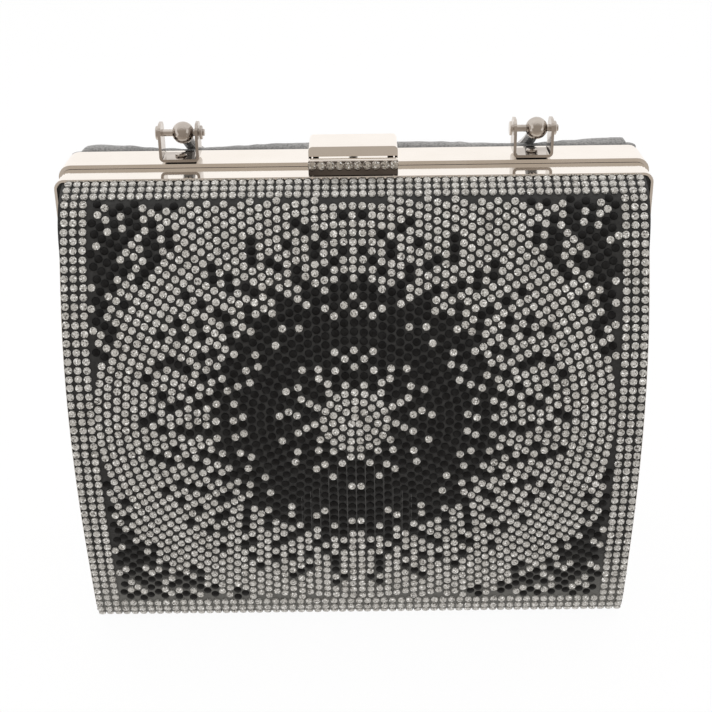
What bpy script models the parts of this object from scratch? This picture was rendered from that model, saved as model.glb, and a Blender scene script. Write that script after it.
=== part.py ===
"""Evening clutch: a hinged metal-framed box bag with a stone-covered front and a padded back.

Run with: blender --background --python part.py

Frame: X to the right, Y to the rear (the stone face looks along -Y), Z up. The origin is under
the middle of the whole outline, folded handle included, on the surface that the bag stands on.
The pieces are modelled about the seam plane and moved over the origin together at the end.
Lengths are in metres.

The bag is two metal half frames that meet at the seam and turn about a hinge pin along their
bottom edge. Each carries a moulded shell that bulges away from the seam. A
fold-over clasp rides on the front frame, and an arched handle swings between two brackets on
the rear frame. The model is closed, with the handle folded back onto the padded cover.
"""

import math

import bmesh
import bpy
from mathutils import Matrix, Vector

# Overall case
FRAME_WIDTH = 0.185
FRAME_HEIGHT = 0.15
FRONT_DEPTH = 0.0108
REAR_DEPTH = 0.0152
FRAME_WALL = 0.0008
FRAME_CORNER = 0.0032
FLANGE_WIDTH = 0.0042
FLANGE_RECESS = 0.0017
SEAM_GAP = 0.0003
GAP = 0.0003
CORNER_STEPS = 6

# The rear frame stands above and outside the front one and shows the face of its seam lip
REAR_RISE = 0.0013
REAR_SPREAD = 0.0008
SEAM_LIP_WIDTH = 0.0023
SEAM_LIP_DEPTH = 0.0017
SEAM_LIP_FLOOR = 0.0001

# Moulded shells, their bulge and what covers them
SHELL_INSET = 0.0031
SHELL_WALL = 0.0014
SHELL_CORNER = 0.0024
SHELL_BULGE = 0.03
SHELL_TOP_DROP = 0.0003
PANEL_THICKNESS = 0.0008
PANEL_INSET = 0.0007
LINING_WALL = 0.0007
LINING_SETBACK = 0.0012
FACE_LEVELS = 30
FACE_EASE_SHARE = 0.6
LINING_LEVELS = 26

# Padded cover on the rear shell
COVER_EDGE = 0.0008
COVER_SIDE = 0.0014
COVER_PAD = 0.0015
COVER_PUFF = 0.0030
COVER_COLUMNS = 36
COVER_EDGE_COLUMNS = 1
COVER_FIRST_LEVEL = 1

# Bottom hinge
HINGE_AXIS_HEIGHT = 0.0024
HINGE_BARREL_RADIUS = 0.0013
HINGE_PIN_RADIUS = 0.0006
HINGE_PIN_CLEARANCE = 0.0001
HINGE_LENGTH = 0.15
HINGE_KNUCKLES = 9
HINGE_LEAF_WALL = 0.0005
HINGE_KNUCKLE_GAP = 0.0003

# Clasp: base with its row of seats, fold-over bar, pin, rivets and the stud it snaps over
CLASP_WIDTH = 0.0275
CLASP_HEIGHT = 0.0086
CLASP_BAR_FRONT = 0.0079
CLASP_BAR_REAR = 0.0062
CLASP_WALL = 0.0009
CLASP_CORNER = 0.0013
CLASP_LIP_FRONT = 0.0106
CLASP_LIP_HEIGHT = 0.0052
CLASP_FLOOR_WALL = 0.001
CLASP_FLOOR_REAR = 0.0006
CLASP_SKIRT_LIFT = 0.0016
CLASP_PIN_BACK = 0.0054
CLASP_PIN_HEIGHT = 0.0062
CLASP_PIN_RADIUS = 0.0007
CLASP_LUG_RADIUS = 0.0013
CLASP_LUG_WIDTH = 0.0018
CLASP_LUG_COLUMN = 0.0021
CLASP_SIDE_PLAY = 0.0004
CLASP_SEATS = 10
CLASP_SEAT_RADIUS = 0.0011
CLASP_SEAT_DEPTH = 0.0005
CLASP_SEAT_PITCH = 0.0028
CLASP_RIVET_RADIUS = 0.0008
CLASP_RIVET_HEAD = 0.0015
CLASP_RIVET_HEAD_HEIGHT = 0.0007
CLASP_STUD_RADIUS = 0.0009
CLASP_STUD_HEAD = 0.0013
CLASP_STUD_FOOT = 0.0014
CLASP_STUD_FOOT_HEIGHT = 0.0007
CLASP_SNAP_CLEARANCE = 0.0002

# Handle brackets and their pins
BRACKET_SPAN = 0.1115
BRACKET_SHIFT = 0.0009
BRACKET_WIDTH = 0.0125
BRACKET_SETBACK = 0.0009
BRACKET_WALL = 0.0009
BRACKET_DEPTH = 0.0085
BRACKET_HEIGHT = 0.0117
BRACKET_BEND = 0.0015
BRACKET_EAR_ROUND = 0.0032
PIN_HEIGHT = 0.0084
PIN_RADIUS = 0.0011
PIN_HOLE_CLEARANCE = 0.0001
PIN_HEAD_RADIUS = 0.0022
PIN_HEAD_WIDTH = 0.0008
PIN_TAIL = 0.0007
RIVET_RADIUS = 0.0009
RIVET_HEAD = 0.0019
RIVET_HEAD_HEIGHT = 0.0007

# Handle
BALL_RADIUS = 0.0035
BALL_SIDE_SHIFT = 0.0012
NECK_RADIUS = 0.0019
NECK_REACH = 0.0052
HANDLE_RADIUS = 0.002
HANDLE_STRAIGHT = 0.012
HANDLE_RISE = 0.07
ARCH_POWER = 2.5
ARCH_STEPS = 44

# Cutters reach past what they cut by this much
OVERRUN = 0.001
ROUND_SEGMENTS = 28
SMALL_SEGMENTS = 18
SMOOTH_ANGLE = math.radians(32.0)
ROUND = 0.5

# Side view of a shell's face from the frame's top edge down to the base: how far it stands out
# of the frame as a share of SHELL_BULGE, and its height as a share of the shell's height.
FACE_PROFILE_SHARES = (
    (0.0, 1.0),
    (0.12, 0.991),
    (0.267, 0.975),
    (0.36, 0.951),
    (0.463, 0.917),
    (0.553, 0.880),
    (0.677, 0.820),
    (0.76, 0.776),
    (0.853, 0.717),
    (0.92, 0.655),
    (0.98, 0.566),
    (1.0, 0.449),
    (0.965, 0.317),
    (0.875, 0.172),
    (0.785, 0.057),
    (0.735, 0.024),
    (0.655, 0.0055),
    (0.55, 0.0),
)

# Fullness of the rear padding along its top edge, from the left side to the right: share of
# half the width, share of COVER_PUFF. The handle's arms press it in near -0.64 and 0.66.
PUFF_SHARES = (
    (-1.0, 0.90),
    (-0.95, 1.15),
    (-0.87, 1.0),
    (-0.76, 0.36),
    (-0.64, 0.04),
    (-0.56, 0.10),
    (-0.36, 0.46),
    (-0.16, 0.68),
    (0.12, 0.66),
    (0.32, 0.42),
    (0.52, 0.06),
    (0.66, 0.0),
    (0.76, 0.50),
    (0.87, 1.0),
    (0.95, 1.15),
    (1.0, 0.90),
)

# Fullness of the padding down the face: share of the way down, share of COVER_PUFF
PUFF_FALL_SHARES = (
    (0.0, 0.2),
    (0.012, 0.75),
    (0.03, 1.0),
    (0.07, 0.95),
    (0.14, 0.70),
    (0.3, 0.42),
    (0.6, 0.30),
    (0.9, 0.20),
    (1.0, 0.0),
)

NICKEL = ("polished_nickel", (0.86, 0.84, 0.80), 0.08, 1.0)
SMOKED = ("smoked_nickel", (0.30, 0.28, 0.27), 0.22, 1.0)
STEEL = ("pin_steel", (0.62, 0.61, 0.60), 0.25, 1.0)
SHELL_FINISH = ("plated_shell", (0.72, 0.71, 0.70), 0.30, 0.9)
BACKING = ("black_backing", (0.012, 0.012, 0.014), 0.55, 0.0)
VELVET = ("grey_velvet", (0.20, 0.21, 0.23), 0.90, 0.0)
SATIN = ("black_satin", (0.02, 0.02, 0.022), 0.42, 0.0)
LACQUER = ("black_lacquer", (0.015, 0.014, 0.015), 0.18, 0.0)

FRONT = -1.0
REAR = 1.0


def material_for(finish):
    """The Principled material of a finish, made once."""
    name, colour, roughness, metallic = finish
    material = bpy.data.materials.get(name)
    if material is None:
        material = bpy.data.materials.new(name)
        material.use_nodes = True
        shader = material.node_tree.nodes["Principled BSDF"]
        shader.inputs["Base Color"].default_value = (*colour, 1.0)
        shader.inputs["Roughness"].default_value = roughness
        shader.inputs["Metallic"].default_value = metallic
    return material


def object_from(name, mesh_data, finish):
    """An object from a bmesh, smooth except over sharp edges."""
    bmesh.ops.recalc_face_normals(mesh_data, faces=mesh_data.faces)
    for face in mesh_data.faces:
        face.smooth = True
    mesh = bpy.data.meshes.new(name)
    mesh_data.to_mesh(mesh)
    mesh_data.free()
    mesh.set_sharp_from_angle(angle=SMOOTH_ANGLE)
    if finish is not None:
        mesh.materials.append(material_for(finish))
    item = bpy.data.objects.new(name, mesh)
    bpy.context.scene.collection.objects.link(item)
    return item


def as_cutter(item):
    """Hides a helper that only shapes another object."""
    item.hide_render = True
    item.display_type = "WIRE"
    return item


def shape_with(item, helper, operation):
    """Adds a Boolean modifier that cuts or joins a helper."""
    modifier = item.modifiers.new(f"{operation.lower()} {helper.name}", "BOOLEAN")
    modifier.operation = operation
    modifier.solver = "EXACT"
    modifier.object = as_cutter(helper)


def axis(name, place, turn=0.0):
    """An empty on a joint's axis, for the pieces that move about it."""
    empty = bpy.data.objects.new(name, None)
    empty.location = place
    empty.rotation_euler = (turn, 0.0, 0.0)
    bpy.context.scene.collection.objects.link(empty)
    return empty


def hang_on(empty, *items):
    """Parents pieces that were modelled in world places to an axis empty."""
    holder = Matrix.Translation(empty.location)
    for item in items:
        item.parent = empty
        item.matrix_parent_inverse = holder.inverted()


def cylinder(mesh_data, start, end, radius, end_radius=None, segments=SMALL_SEGMENTS):
    """Adds a closed cylinder or cone between two points."""
    start, end = Vector(start), Vector(end)
    way = end - start
    turn = way.to_track_quat("Z", "Y").to_matrix().to_4x4()
    bmesh.ops.create_cone(
        mesh_data,
        cap_ends=True,
        segments=segments,
        radius1=radius,
        radius2=radius if end_radius is None else end_radius,
        depth=way.length,
        matrix=Matrix.Translation((start + end) / 2) @ turn,
    )


def block(mesh_data, low, high):
    """Adds a closed box between two corners and returns its vertices."""
    low, high = Vector(low), Vector(high)
    size = Matrix.Diagonal((*(high - low), 1.0))
    place = Matrix.Translation((low + high) / 2) @ size
    return bmesh.ops.create_cube(mesh_data, size=1.0, matrix=place)["verts"]


def extruded_x(mesh_data, outline, low_x, high_x):
    """Adds a closed prism along X from an outline of (y, z) points."""
    face = mesh_data.faces.new([mesh_data.verts.new((low_x, y, z)) for y, z in outline])
    moved = bmesh.ops.extrude_face_region(mesh_data, geom=[face])["geom"]
    verts = [item for item in moved if isinstance(item, bmesh.types.BMVert)]
    bmesh.ops.translate(mesh_data, verts=verts, vec=(high_x - low_x, 0.0, 0.0))


def turned(mesh_data, profile, base, direction, segments=ROUND_SEGMENTS):
    """Adds a solid of revolution from (radius, height) points that start and end on the axis."""
    turn = Vector(direction).to_track_quat("Z", "Y").to_matrix().to_4x4()
    place = Matrix.Translation(base) @ turn
    rings = []
    for radius, height in profile:
        if radius <= 0.0:
            rings.append([mesh_data.verts.new(place @ Vector((0.0, 0.0, height)))])
            continue
        ring = []
        for step in range(segments):
            angle = math.tau * step / segments
            spot = Vector((radius * math.cos(angle), radius * math.sin(angle), height))
            ring.append(mesh_data.verts.new(place @ spot))
        rings.append(ring)
    for below, above in zip(rings, rings[1:]):
        for step in range(segments):
            after = (step + 1) % segments
            corners = [below[step % len(below)], below[after % len(below)]]
            corners += [above[after % len(above)], above[step % len(above)]]
            mesh_data.faces.new(list(dict.fromkeys(corners)))


def interpolated(table, place):
    """Reads a table of shares with a straight line between its rows."""
    for (low, low_value), (high, high_value) in zip(table, table[1:]):
        if place <= high:
            share = (place - low) / (high - low)
            return low_value + (high_value - low_value) * share
    return table[-1][1]


def smooth_through(points, count, ease):
    """Catmull-Rom points through a polyline."""
    dense = []
    padded = [points[0], *points, points[-1]]
    samples = 12
    for before, start, end, after in zip(padded, padded[1:], padded[2:], padded[3:]):
        for step in range(samples):
            t = step / samples
            dense.append(
                tuple(
                    0.5
                    * (
                        2 * b
                        + (c - a) * t
                        + (2 * a - 5 * b + 4 * c - d) * t**2
                        + (3 * b - a - 3 * c + d) * t**3
                    )
                    for a, b, c, d in zip(before, start, end, after)
                )
            )
    dense.append(points[-1])
    return evenly(dense, count, ease)


def evenly(points, count, ease=0.0):
    """Points along a polyline at equal steps, or at steps that close up towards both ends."""
    lengths = [0.0]
    for start, end in zip(points, points[1:]):
        lengths.append(lengths[-1] + math.dist(start, end))
    found = []
    place = 0
    for step in range(count):
        goal = lengths[-1] * level_share(step, count, ease)
        while place < len(lengths) - 2 and lengths[place + 1] < goal:
            place += 1
        share = (goal - lengths[place]) / (lengths[place + 1] - lengths[place])
        pairs = zip(points[place], points[place + 1])
        found.append(tuple(a + (b - a) * share for a, b in pairs))
    return found


def level_share(step, count, ease):
    """How far along a line a level lies."""
    share = step / (count - 1)
    return share - ease * math.sin(math.tau * share) / math.tau


def inward_way(profile, index):
    """The direction into the shell at a point of its side view."""
    before = profile[max(index - 1, 0)]
    after = profile[min(index + 1, len(profile) - 1)]
    run, rise = after[0] - before[0], after[1] - before[1]
    length = math.hypot(run, rise)
    return rise / length, -run / length


def offset_inward(profile, amount):
    """A side-view profile moved into the shell by an amount, square to itself."""
    ways = [inward_way(profile, index) for index in range(len(profile))]
    return [(y + amount * dy, z + amount * dz) for (y, z), (dy, dz) in zip(profile, ways)]


SHELL_BASE = FRAME_WALL + GAP
SHELL_TOP = FRAME_HEIGHT - FRAME_WALL - SHELL_TOP_DROP
SHELL_HALF = FRAME_WIDTH / 2 - SHELL_INSET
SHELL_FACE_OFFSET = PANEL_THICKNESS + GAP
LINING_OFFSET = SHELL_FACE_OFFSET + SHELL_WALL + GAP
BRACKET_FRONT = SEAM_GAP / 2 + BRACKET_SETBACK
REAR_TOP = FRAME_HEIGHT + REAR_RISE
PIN_DEPTH = BRACKET_FRONT + BRACKET_DEPTH / 2
PIN_AXIS_HEIGHT = REAR_TOP + GAP + PIN_HEIGHT


def oversize(side):
    """How much larger a half is than the front one: at each side, and at its top."""
    return (REAR_SPREAD, REAR_RISE) if side == REAR else (0.0, 0.0)


def face_profile(side):
    """The outermost side view of a shell: (distance out of the frame, height), top first."""
    tall = SHELL_TOP + oversize(side)[1] - SHELL_BASE
    points = [(out * SHELL_BULGE, SHELL_BASE + up * tall) for out, up in FACE_PROFILE_SHARES]
    return smooth_through(points, FACE_LEVELS, FACE_EASE_SHARE)


def half_width(height, half, corner, base, top):
    """Half the width of an outline with rounded corners, at a height."""
    drop = max(height - (top - corner), (base + corner) - height, 0.0)
    return half - corner + math.sqrt(max(corner**2 - min(drop, corner) ** 2, 0.0))


def outline(half, base, top, corner):
    """A rounded rectangle in X and Z, anticlockwise seen from the front."""
    centres = (
        (half - corner, top - corner, 0.0),
        (corner - half, top - corner, math.pi / 2),
        (corner - half, base + corner, math.pi),
        (half - corner, base + corner, 3 * math.pi / 2),
    )
    points = []
    for x, z, start in centres:
        for step in range(CORNER_STEPS + 1):
            angle = start + math.pi / 2 * step / CORNER_STEPS
            points.append((x + corner * math.cos(angle), z + corner * math.sin(angle)))
    return points


def seam_at(height):
    """Distance of a frame's edge from the seam plane, cut back below the hinge axis."""
    return SEAM_GAP / 2 + max(HINGE_AXIS_HEIGHT - height, 0.0)


def add_ring(mesh_data, loops):
    """Adds a closed ring from loops of equal length, each loop joined to the next."""
    verts = [[mesh_data.verts.new(spot) for spot in loop] for loop in loops]
    count = len(verts[0])
    for loop, after in zip(verts, verts[1:] + verts[:1]):
        for step in range(count):
            nearby = (step + 1) % count
            mesh_data.faces.new((loop[step], loop[nearby], after[nearby], after[step]))


def make_frame(name, side, depth):
    """A half frame: a thin wall round the case with an inner flange for its shell."""
    step_back = depth - FLANGE_RECESS
    flange = FRAME_WALL + FLANGE_WIDTH
    section = [
        (0.0, 0.0, None),
        (0.0, 0.0, depth),
        (FRAME_WALL, FRAME_WALL, depth),
        (FRAME_WALL, FRAME_WALL, step_back),
        (flange, flange, step_back),
        (flange, flange, step_back - FRAME_WALL),
        (FRAME_WALL, FRAME_WALL, step_back - FRAME_WALL),
    ]
    if side == REAR:
        lip_back = SEAM_GAP / 2 + SEAM_LIP_DEPTH
        lip_base = FRAME_WALL + SEAM_LIP_FLOOR
        section.append((FRAME_WALL, FRAME_WALL, lip_back))
        section.append((SEAM_LIP_WIDTH, lip_base, lip_back))
        section.append((SEAM_LIP_WIDTH, lip_base, None))
    else:
        section.append((FRAME_WALL, FRAME_WALL, None))
    loops = []
    spread, rise = oversize(side)
    for inward, base, out in section:
        corner = max(FRAME_CORNER + spread - inward, FRAME_WALL)
        half, top = FRAME_WIDTH / 2 + spread - inward, FRAME_HEIGHT + rise - inward
        loop = outline(half, base, top, corner)
        loops.append([(x, side * (seam_at(z) if out is None else out), z) for x, z in loop])
    mesh_data = bmesh.new()
    add_ring(mesh_data, loops)
    return object_from(name, mesh_data, NICKEL)


def add_tray(mesh_data, outer, inner, outer_half, inner_half, side, out, back):
    """Adds an open tray: a curved face seen from the side, with walls back towards the seam."""
    loops = []
    for levels, half in ((outer, outer_half), (inner, inner_half)):
        widths = [half(z) for _, z in levels]
        right = [(w, side * (out + y), z) for w, (y, z) in zip(widths, levels)]
        left = [(-x, y, z) for x, y, z in reversed(right)]
        front = right + left
        loops.append(([mesh_data.verts.new(spot) for spot in front], len(right)))
    backs = []
    for verts, _ in loops:
        backs.append([mesh_data.verts.new((v.co.x, side * back, v.co.z)) for v in verts])
    for (front, count), rear in zip(loops, backs):
        total = len(front)
        for step in range(total):
            after = (step + 1) % total
            mesh_data.faces.new((front[step], front[after], rear[after], rear[step]))
        for step in range(count - 1):
            mirrored = total - 1 - step
            ladder = (front[step], front[step + 1], front[mirrored - 1], front[mirrored])
            mesh_data.faces.new(ladder)
    total = len(backs[0])
    for step in range(total):
        after = (step + 1) % total
        rim = (backs[0][step], backs[0][after], backs[1][after], backs[1][step])
        mesh_data.faces.new(rim)


def make_shell(name, side, depth):
    """A moulded shell that sits on its frame's flange and bulges out of it."""
    outer = offset_inward(face_profile(side), SHELL_FACE_OFFSET)
    inner = offset_inward(face_profile(side), SHELL_FACE_OFFSET + SHELL_WALL)
    base = SHELL_BASE + SHELL_FACE_OFFSET
    spread, rise = oversize(side)
    top = SHELL_TOP + rise - SHELL_FACE_OFFSET / 2
    half = SHELL_HALF + spread

    def outer_half(z):
        return half_width(z, half, SHELL_CORNER, base, top)

    def inner_half(z):
        corner = SHELL_CORNER - SHELL_WALL
        return half_width(z, half - SHELL_WALL, corner, base + SHELL_WALL, top - SHELL_WALL)

    mesh_data = bmesh.new()
    back = depth - FLANGE_RECESS + GAP
    add_tray(mesh_data, outer, inner, outer_half, inner_half, side, depth, back)
    return object_from(name, mesh_data, SHELL_FINISH)


def height_reader(profile):
    """How far a profile stands out, read by height."""
    rows = sorted((height, out) for out, height in profile)
    return lambda height: interpolated(rows, height)


def make_lining(name, side, depth):
    """A thin fabric tray that lines a shell and its frame."""
    margin = FRAME_WALL + FLANGE_WIDTH + GAP
    spread, rise = oversize(side)
    low, high = margin, FRAME_HEIGHT + rise - margin
    half = FRAME_WIDTH / 2 + spread - margin
    reads = [
        height_reader(offset_inward(face_profile(side), LINING_OFFSET + wall))
        for wall in (0.0, LINING_WALL)
    ]
    rows = []
    for read, wall in zip(reads, (0.0, LINING_WALL)):
        top, base = high - wall, low + wall
        span = range(LINING_LEVELS)
        heights = [top - (top - base) * step / (LINING_LEVELS - 1) for step in span]
        rows.append([(read(height), height) for height in heights])

    def outer_half(z):
        return half_width(z, half, SHELL_CORNER, low, high)

    def inner_half(z):
        corner = SHELL_CORNER - LINING_WALL
        return half_width(z, half - LINING_WALL, corner, low + LINING_WALL, high - LINING_WALL)

    mesh_data = bmesh.new()
    add_tray(mesh_data, *rows, outer_half, inner_half, side, depth, LINING_SETBACK)
    return object_from(name, mesh_data, SATIN)


def panel_half(height):
    """Half the width of what covers a shell's face, at a height."""
    corner = SHELL_CORNER - PANEL_INSET
    return half_width(height, SHELL_HALF - PANEL_INSET, corner, SHELL_BASE, SHELL_TOP)


def make_panel(name):
    """The curved backing that carries the stones on the front shell."""
    mesh_data = bmesh.new()
    outer = face_profile(FRONT)
    inner = offset_inward(outer, PANEL_THICKNESS)
    rows = []
    for levels in (outer, inner):
        row = []
        for (out, height), (_, width_height) in zip(levels, outer):
            x = panel_half(width_height)
            y = FRONT * (FRONT_DEPTH + out)
            row.append((mesh_data.verts.new((x, y, height)), mesh_data.verts.new((-x, y, height))))
        rows.append(row)
    for row in rows:
        for (right, left), (low_right, low_left) in zip(row, row[1:]):
            mesh_data.faces.new((right, low_right, low_left, left))
    for hand in range(2):
        edge = [[pair[hand] for pair in row] for row in rows]
        for step in range(len(outer) - 1):
            rim = (edge[0][step], edge[0][step + 1], edge[1][step + 1], edge[1][step])
            mesh_data.faces.new(rim)
    for end in (0, -1):
        (right, left), (inner_right, inner_left) = rows[0][end], rows[1][end]
        mesh_data.faces.new((right, left, inner_left, inner_right))
    return object_from(name, mesh_data, BACKING)


def padding(across, down):
    """Thickness of the rear cover at a share of the half width and a share of the way down."""
    from_side = (1.0 - abs(across)) * COVER_COLUMNS / 2
    edge = min(1.0, from_side / COVER_EDGE_COLUMNS)
    fall = interpolated(PUFF_FALL_SHARES, down)
    local = interpolated(PUFF_SHARES, across)
    evened = local + (1.0 - local) * min(1.0, 3 * down)
    return COVER_EDGE + edge * (COVER_PAD - COVER_EDGE) + COVER_PUFF * fall * evened * edge


def cover_half():
    """Half the width of the rear shell with the gap to its cover."""
    return SHELL_HALF + REAR_SPREAD + GAP


def cover_point(across, index, dense):
    """A point of the padded face and the point under it: (x, y, z) each."""
    down = level_share(index, FACE_LEVELS, FACE_EASE_SHARE)
    (out, height), (dy, dz) = dense[index], inward_way(dense, index)
    x = across * cover_half()
    depths = (PANEL_THICKNESS - padding(across, down), PANEL_THICKNESS)
    return [(x, REAR_DEPTH + out + deep * dy, height + deep * dz) for deep in depths]


def cover_row(index, dense):
    """One level of the cover from side to side: its outer points and its inner points."""
    shares = [2 * step / COVER_COLUMNS - 1 for step in range(COVER_COLUMNS + 1)]
    outer, inner = zip(*(cover_point(across, index, dense) for across in shares))
    half = cover_half()
    end = REAR_DEPTH + GAP
    _, y, z = inner[0]
    sides = [((half + COVER_SIDE, end, z), (half, end, z))]
    sides.append(((half + COVER_SIDE, y, z), (half, y - COVER_EDGE, z)))
    right = [list(layer) for layer in zip(*sides[::-1])]
    left = [[(-x, y, z) for x, y, z in layer] for layer in zip(*sides)]
    return left[0] + list(outer) + right[0], left[1] + list(inner) + right[1]


def make_cover(name):
    """The padded velvet cover of the rear shell, wrapped over its sides, full along its top."""
    dense = face_profile(REAR)
    mesh_data = bmesh.new()
    rows = [cover_row(index, dense) for index in range(COVER_FIRST_LEVEL, FACE_LEVELS)]
    grids = [[[mesh_data.verts.new(spot) for spot in row[layer]] for row in rows] for layer in (0, 1)]
    for grid in grids:
        for row, below in zip(grid, grid[1:]):
            for quad in zip(row, row[1:], below[1:], below):
                mesh_data.faces.new(quad)
    over, under = grids
    rims = [(over[0], under[0]), (over[-1], under[-1])]
    rims += [([row[end] for row in over], [row[end] for row in under]) for end in (0, -1)]
    for outer, inner in rims:
        for quad in zip(outer, outer[1:], inner[1:], inner):
            mesh_data.faces.new(quad)
    return object_from(name, mesh_data, VELVET)


def make_hinge_leaf(name, side, first):
    """A hinge leaf: a strip on the frame's floor with every second knuckle of the barrel."""
    pitch = HINGE_LENGTH / HINGE_KNUCKLES
    low = FRAME_WALL + GAP
    high = low + HINGE_LEAF_WALL
    inner = side * (HINGE_BARREL_RADIUS + GAP)
    depth = FRONT_DEPTH if side == FRONT else REAR_DEPTH
    outer = side * (depth - FLANGE_RECESS - FRAME_WALL - GAP)
    start = -HINGE_LENGTH / 2
    mesh_data = bmesh.new()
    near, far = sorted((inner, outer))
    block(mesh_data, (start, near, low), (-start, far, high))
    leaf = object_from(name, mesh_data, STEEL)
    feet = bmesh.new()
    barrels = bmesh.new()
    bores = bmesh.new()
    for index in range(first, HINGE_KNUCKLES, 2):
        left = start + pitch * index + HINGE_KNUCKLE_GAP / 2
        right = left + pitch - HINGE_KNUCKLE_GAP
        near, far = sorted((side * HINGE_PIN_RADIUS, inner + side * HINGE_LEAF_WALL))
        block(feet, (left, near, low), (right, far, high))
        for solid, radius, reach in (
            (barrels, HINGE_BARREL_RADIUS, 0.0),
            (bores, HINGE_PIN_RADIUS + HINGE_PIN_CLEARANCE, HINGE_KNUCKLE_GAP / 2),
        ):
            ends = [(x, 0.0, HINGE_AXIS_HEIGHT) for x in (left - reach, right + reach)]
            cylinder(solid, *ends, radius)
    shape_with(leaf, object_from(f"{name}_feet", feet, STEEL), "UNION")
    shape_with(leaf, object_from(f"{name}_barrels", barrels, STEEL), "UNION")
    shape_with(leaf, object_from(f"{name}_bores", bores, STEEL), "DIFFERENCE")
    return leaf


def make_hinge_pin():
    """The long pin through every knuckle, with a rounded head at each end."""
    mesh_data = bmesh.new()
    half = HINGE_LENGTH / 2 + GAP
    head = HINGE_BARREL_RADIUS * 0.9
    profile = (
        (0.0, -half - HINGE_PIN_RADIUS),
        (head, -half - HINGE_PIN_RADIUS),
        (head, -half),
        (HINGE_PIN_RADIUS, -half),
        (HINGE_PIN_RADIUS, half),
        (head, half),
        (head, half + HINGE_PIN_RADIUS),
        (0.0, half + HINGE_PIN_RADIUS),
    )
    turned(mesh_data, profile, (0.0, 0.0, HINGE_AXIS_HEIGHT), (1.0, 0.0, 0.0), SMALL_SEGMENTS)
    return object_from("hinge_pin", mesh_data, STEEL)


def rivet_places():
    """Where the clasp base is riveted: its two (x, y) places."""
    y = -(CLASP_FLOOR_REAR + CLASP_PIN_BACK - CLASP_LUG_RADIUS) / 2
    return [(hand * CLASP_WIDTH / 4, y) for hand in (-1.0, 1.0)]


def make_clasp_base():
    """The clasp's foot: a lip with a row of round stone seats, a floor and two pin lugs."""
    floor = FRAME_HEIGHT + GAP
    inside = CLASP_WIDTH / 2 - CLASP_WALL - CLASP_SIDE_PLAY
    lip_back = CLASP_BAR_FRONT + GAP
    mesh_data = bmesh.new()
    lip_top = FRAME_HEIGHT + CLASP_LIP_HEIGHT
    verts = block(
        mesh_data,
        (-CLASP_WIDTH / 2, -CLASP_LIP_FRONT, floor),
        (CLASP_WIDTH / 2, -lip_back, lip_top),
    )
    front_top = [
        edge
        for edge in {edge for vert in verts for edge in vert.link_edges}
        if all(vert.co.z > (floor + lip_top) / 2 for vert in edge.verts)
    ]
    bmesh.ops.bevel(
        mesh_data, geom=front_top, offset=CLASP_SEAT_DEPTH, segments=2, profile=ROUND, affect="EDGES"
    )
    base = object_from("clasp_base", mesh_data, SMOKED)
    plate = bmesh.new()
    block(
        plate,
        (-inside, -lip_back - OVERRUN, floor),
        (inside, -CLASP_FLOOR_REAR, floor + CLASP_FLOOR_WALL),
    )
    shape_with(base, object_from("clasp_floor", plate, SMOKED), "UNION")
    lugs = bmesh.new()
    pin_y = -CLASP_PIN_BACK
    pin_z = FRAME_HEIGHT + CLASP_PIN_HEIGHT
    sink = floor + CLASP_FLOOR_WALL / 2
    arc = [math.radians(angle) for angle in range(0, 271, 18)]
    head = [
        (pin_y + CLASP_LUG_RADIUS * math.cos(angle), pin_z + CLASP_LUG_RADIUS * math.sin(angle))
        for angle in arc
    ]
    column = [(pin_y, sink), (pin_y + CLASP_LUG_COLUMN, sink), (pin_y + CLASP_LUG_COLUMN, pin_z - CLASP_LUG_RADIUS)]
    for hand in (-1.0, 1.0):
        ends = sorted((hand * inside, hand * (inside - CLASP_LUG_WIDTH)))
        extruded_x(lugs, head + column, *ends)
    shape_with(base, object_from("clasp_lugs", lugs, SMOKED), "UNION")
    cuts = bmesh.new()
    reach = inside + OVERRUN
    cylinder(
        cuts, (-reach, pin_y, pin_z), (reach, pin_y, pin_z), CLASP_PIN_RADIUS + PIN_HOLE_CLEARANCE
    )
    for x, y in rivet_places():
        cylinder(
            cuts,
            (x, y, floor - OVERRUN),
            (x, y, floor + CLASP_FLOOR_WALL + OVERRUN),
            CLASP_RIVET_RADIUS + GAP,
        )
    shape_with(base, object_from("clasp_base_bores", cuts, SMOKED), "DIFFERENCE")
    seats = bmesh.new()
    middle = floor + (CLASP_LIP_HEIGHT - GAP) / 2
    for index in range(CLASP_SEATS):
        x = (index - (CLASP_SEATS - 1) / 2) * CLASP_SEAT_PITCH
        cylinder(
            seats,
            (x, -CLASP_LIP_FRONT - OVERRUN, middle),
            (x, -CLASP_LIP_FRONT + CLASP_SEAT_DEPTH, middle),
            CLASP_SEAT_RADIUS,
            segments=16,
        )
    shape_with(base, object_from("clasp_seats", seats, SMOKED), "DIFFERENCE")
    return base


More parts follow.
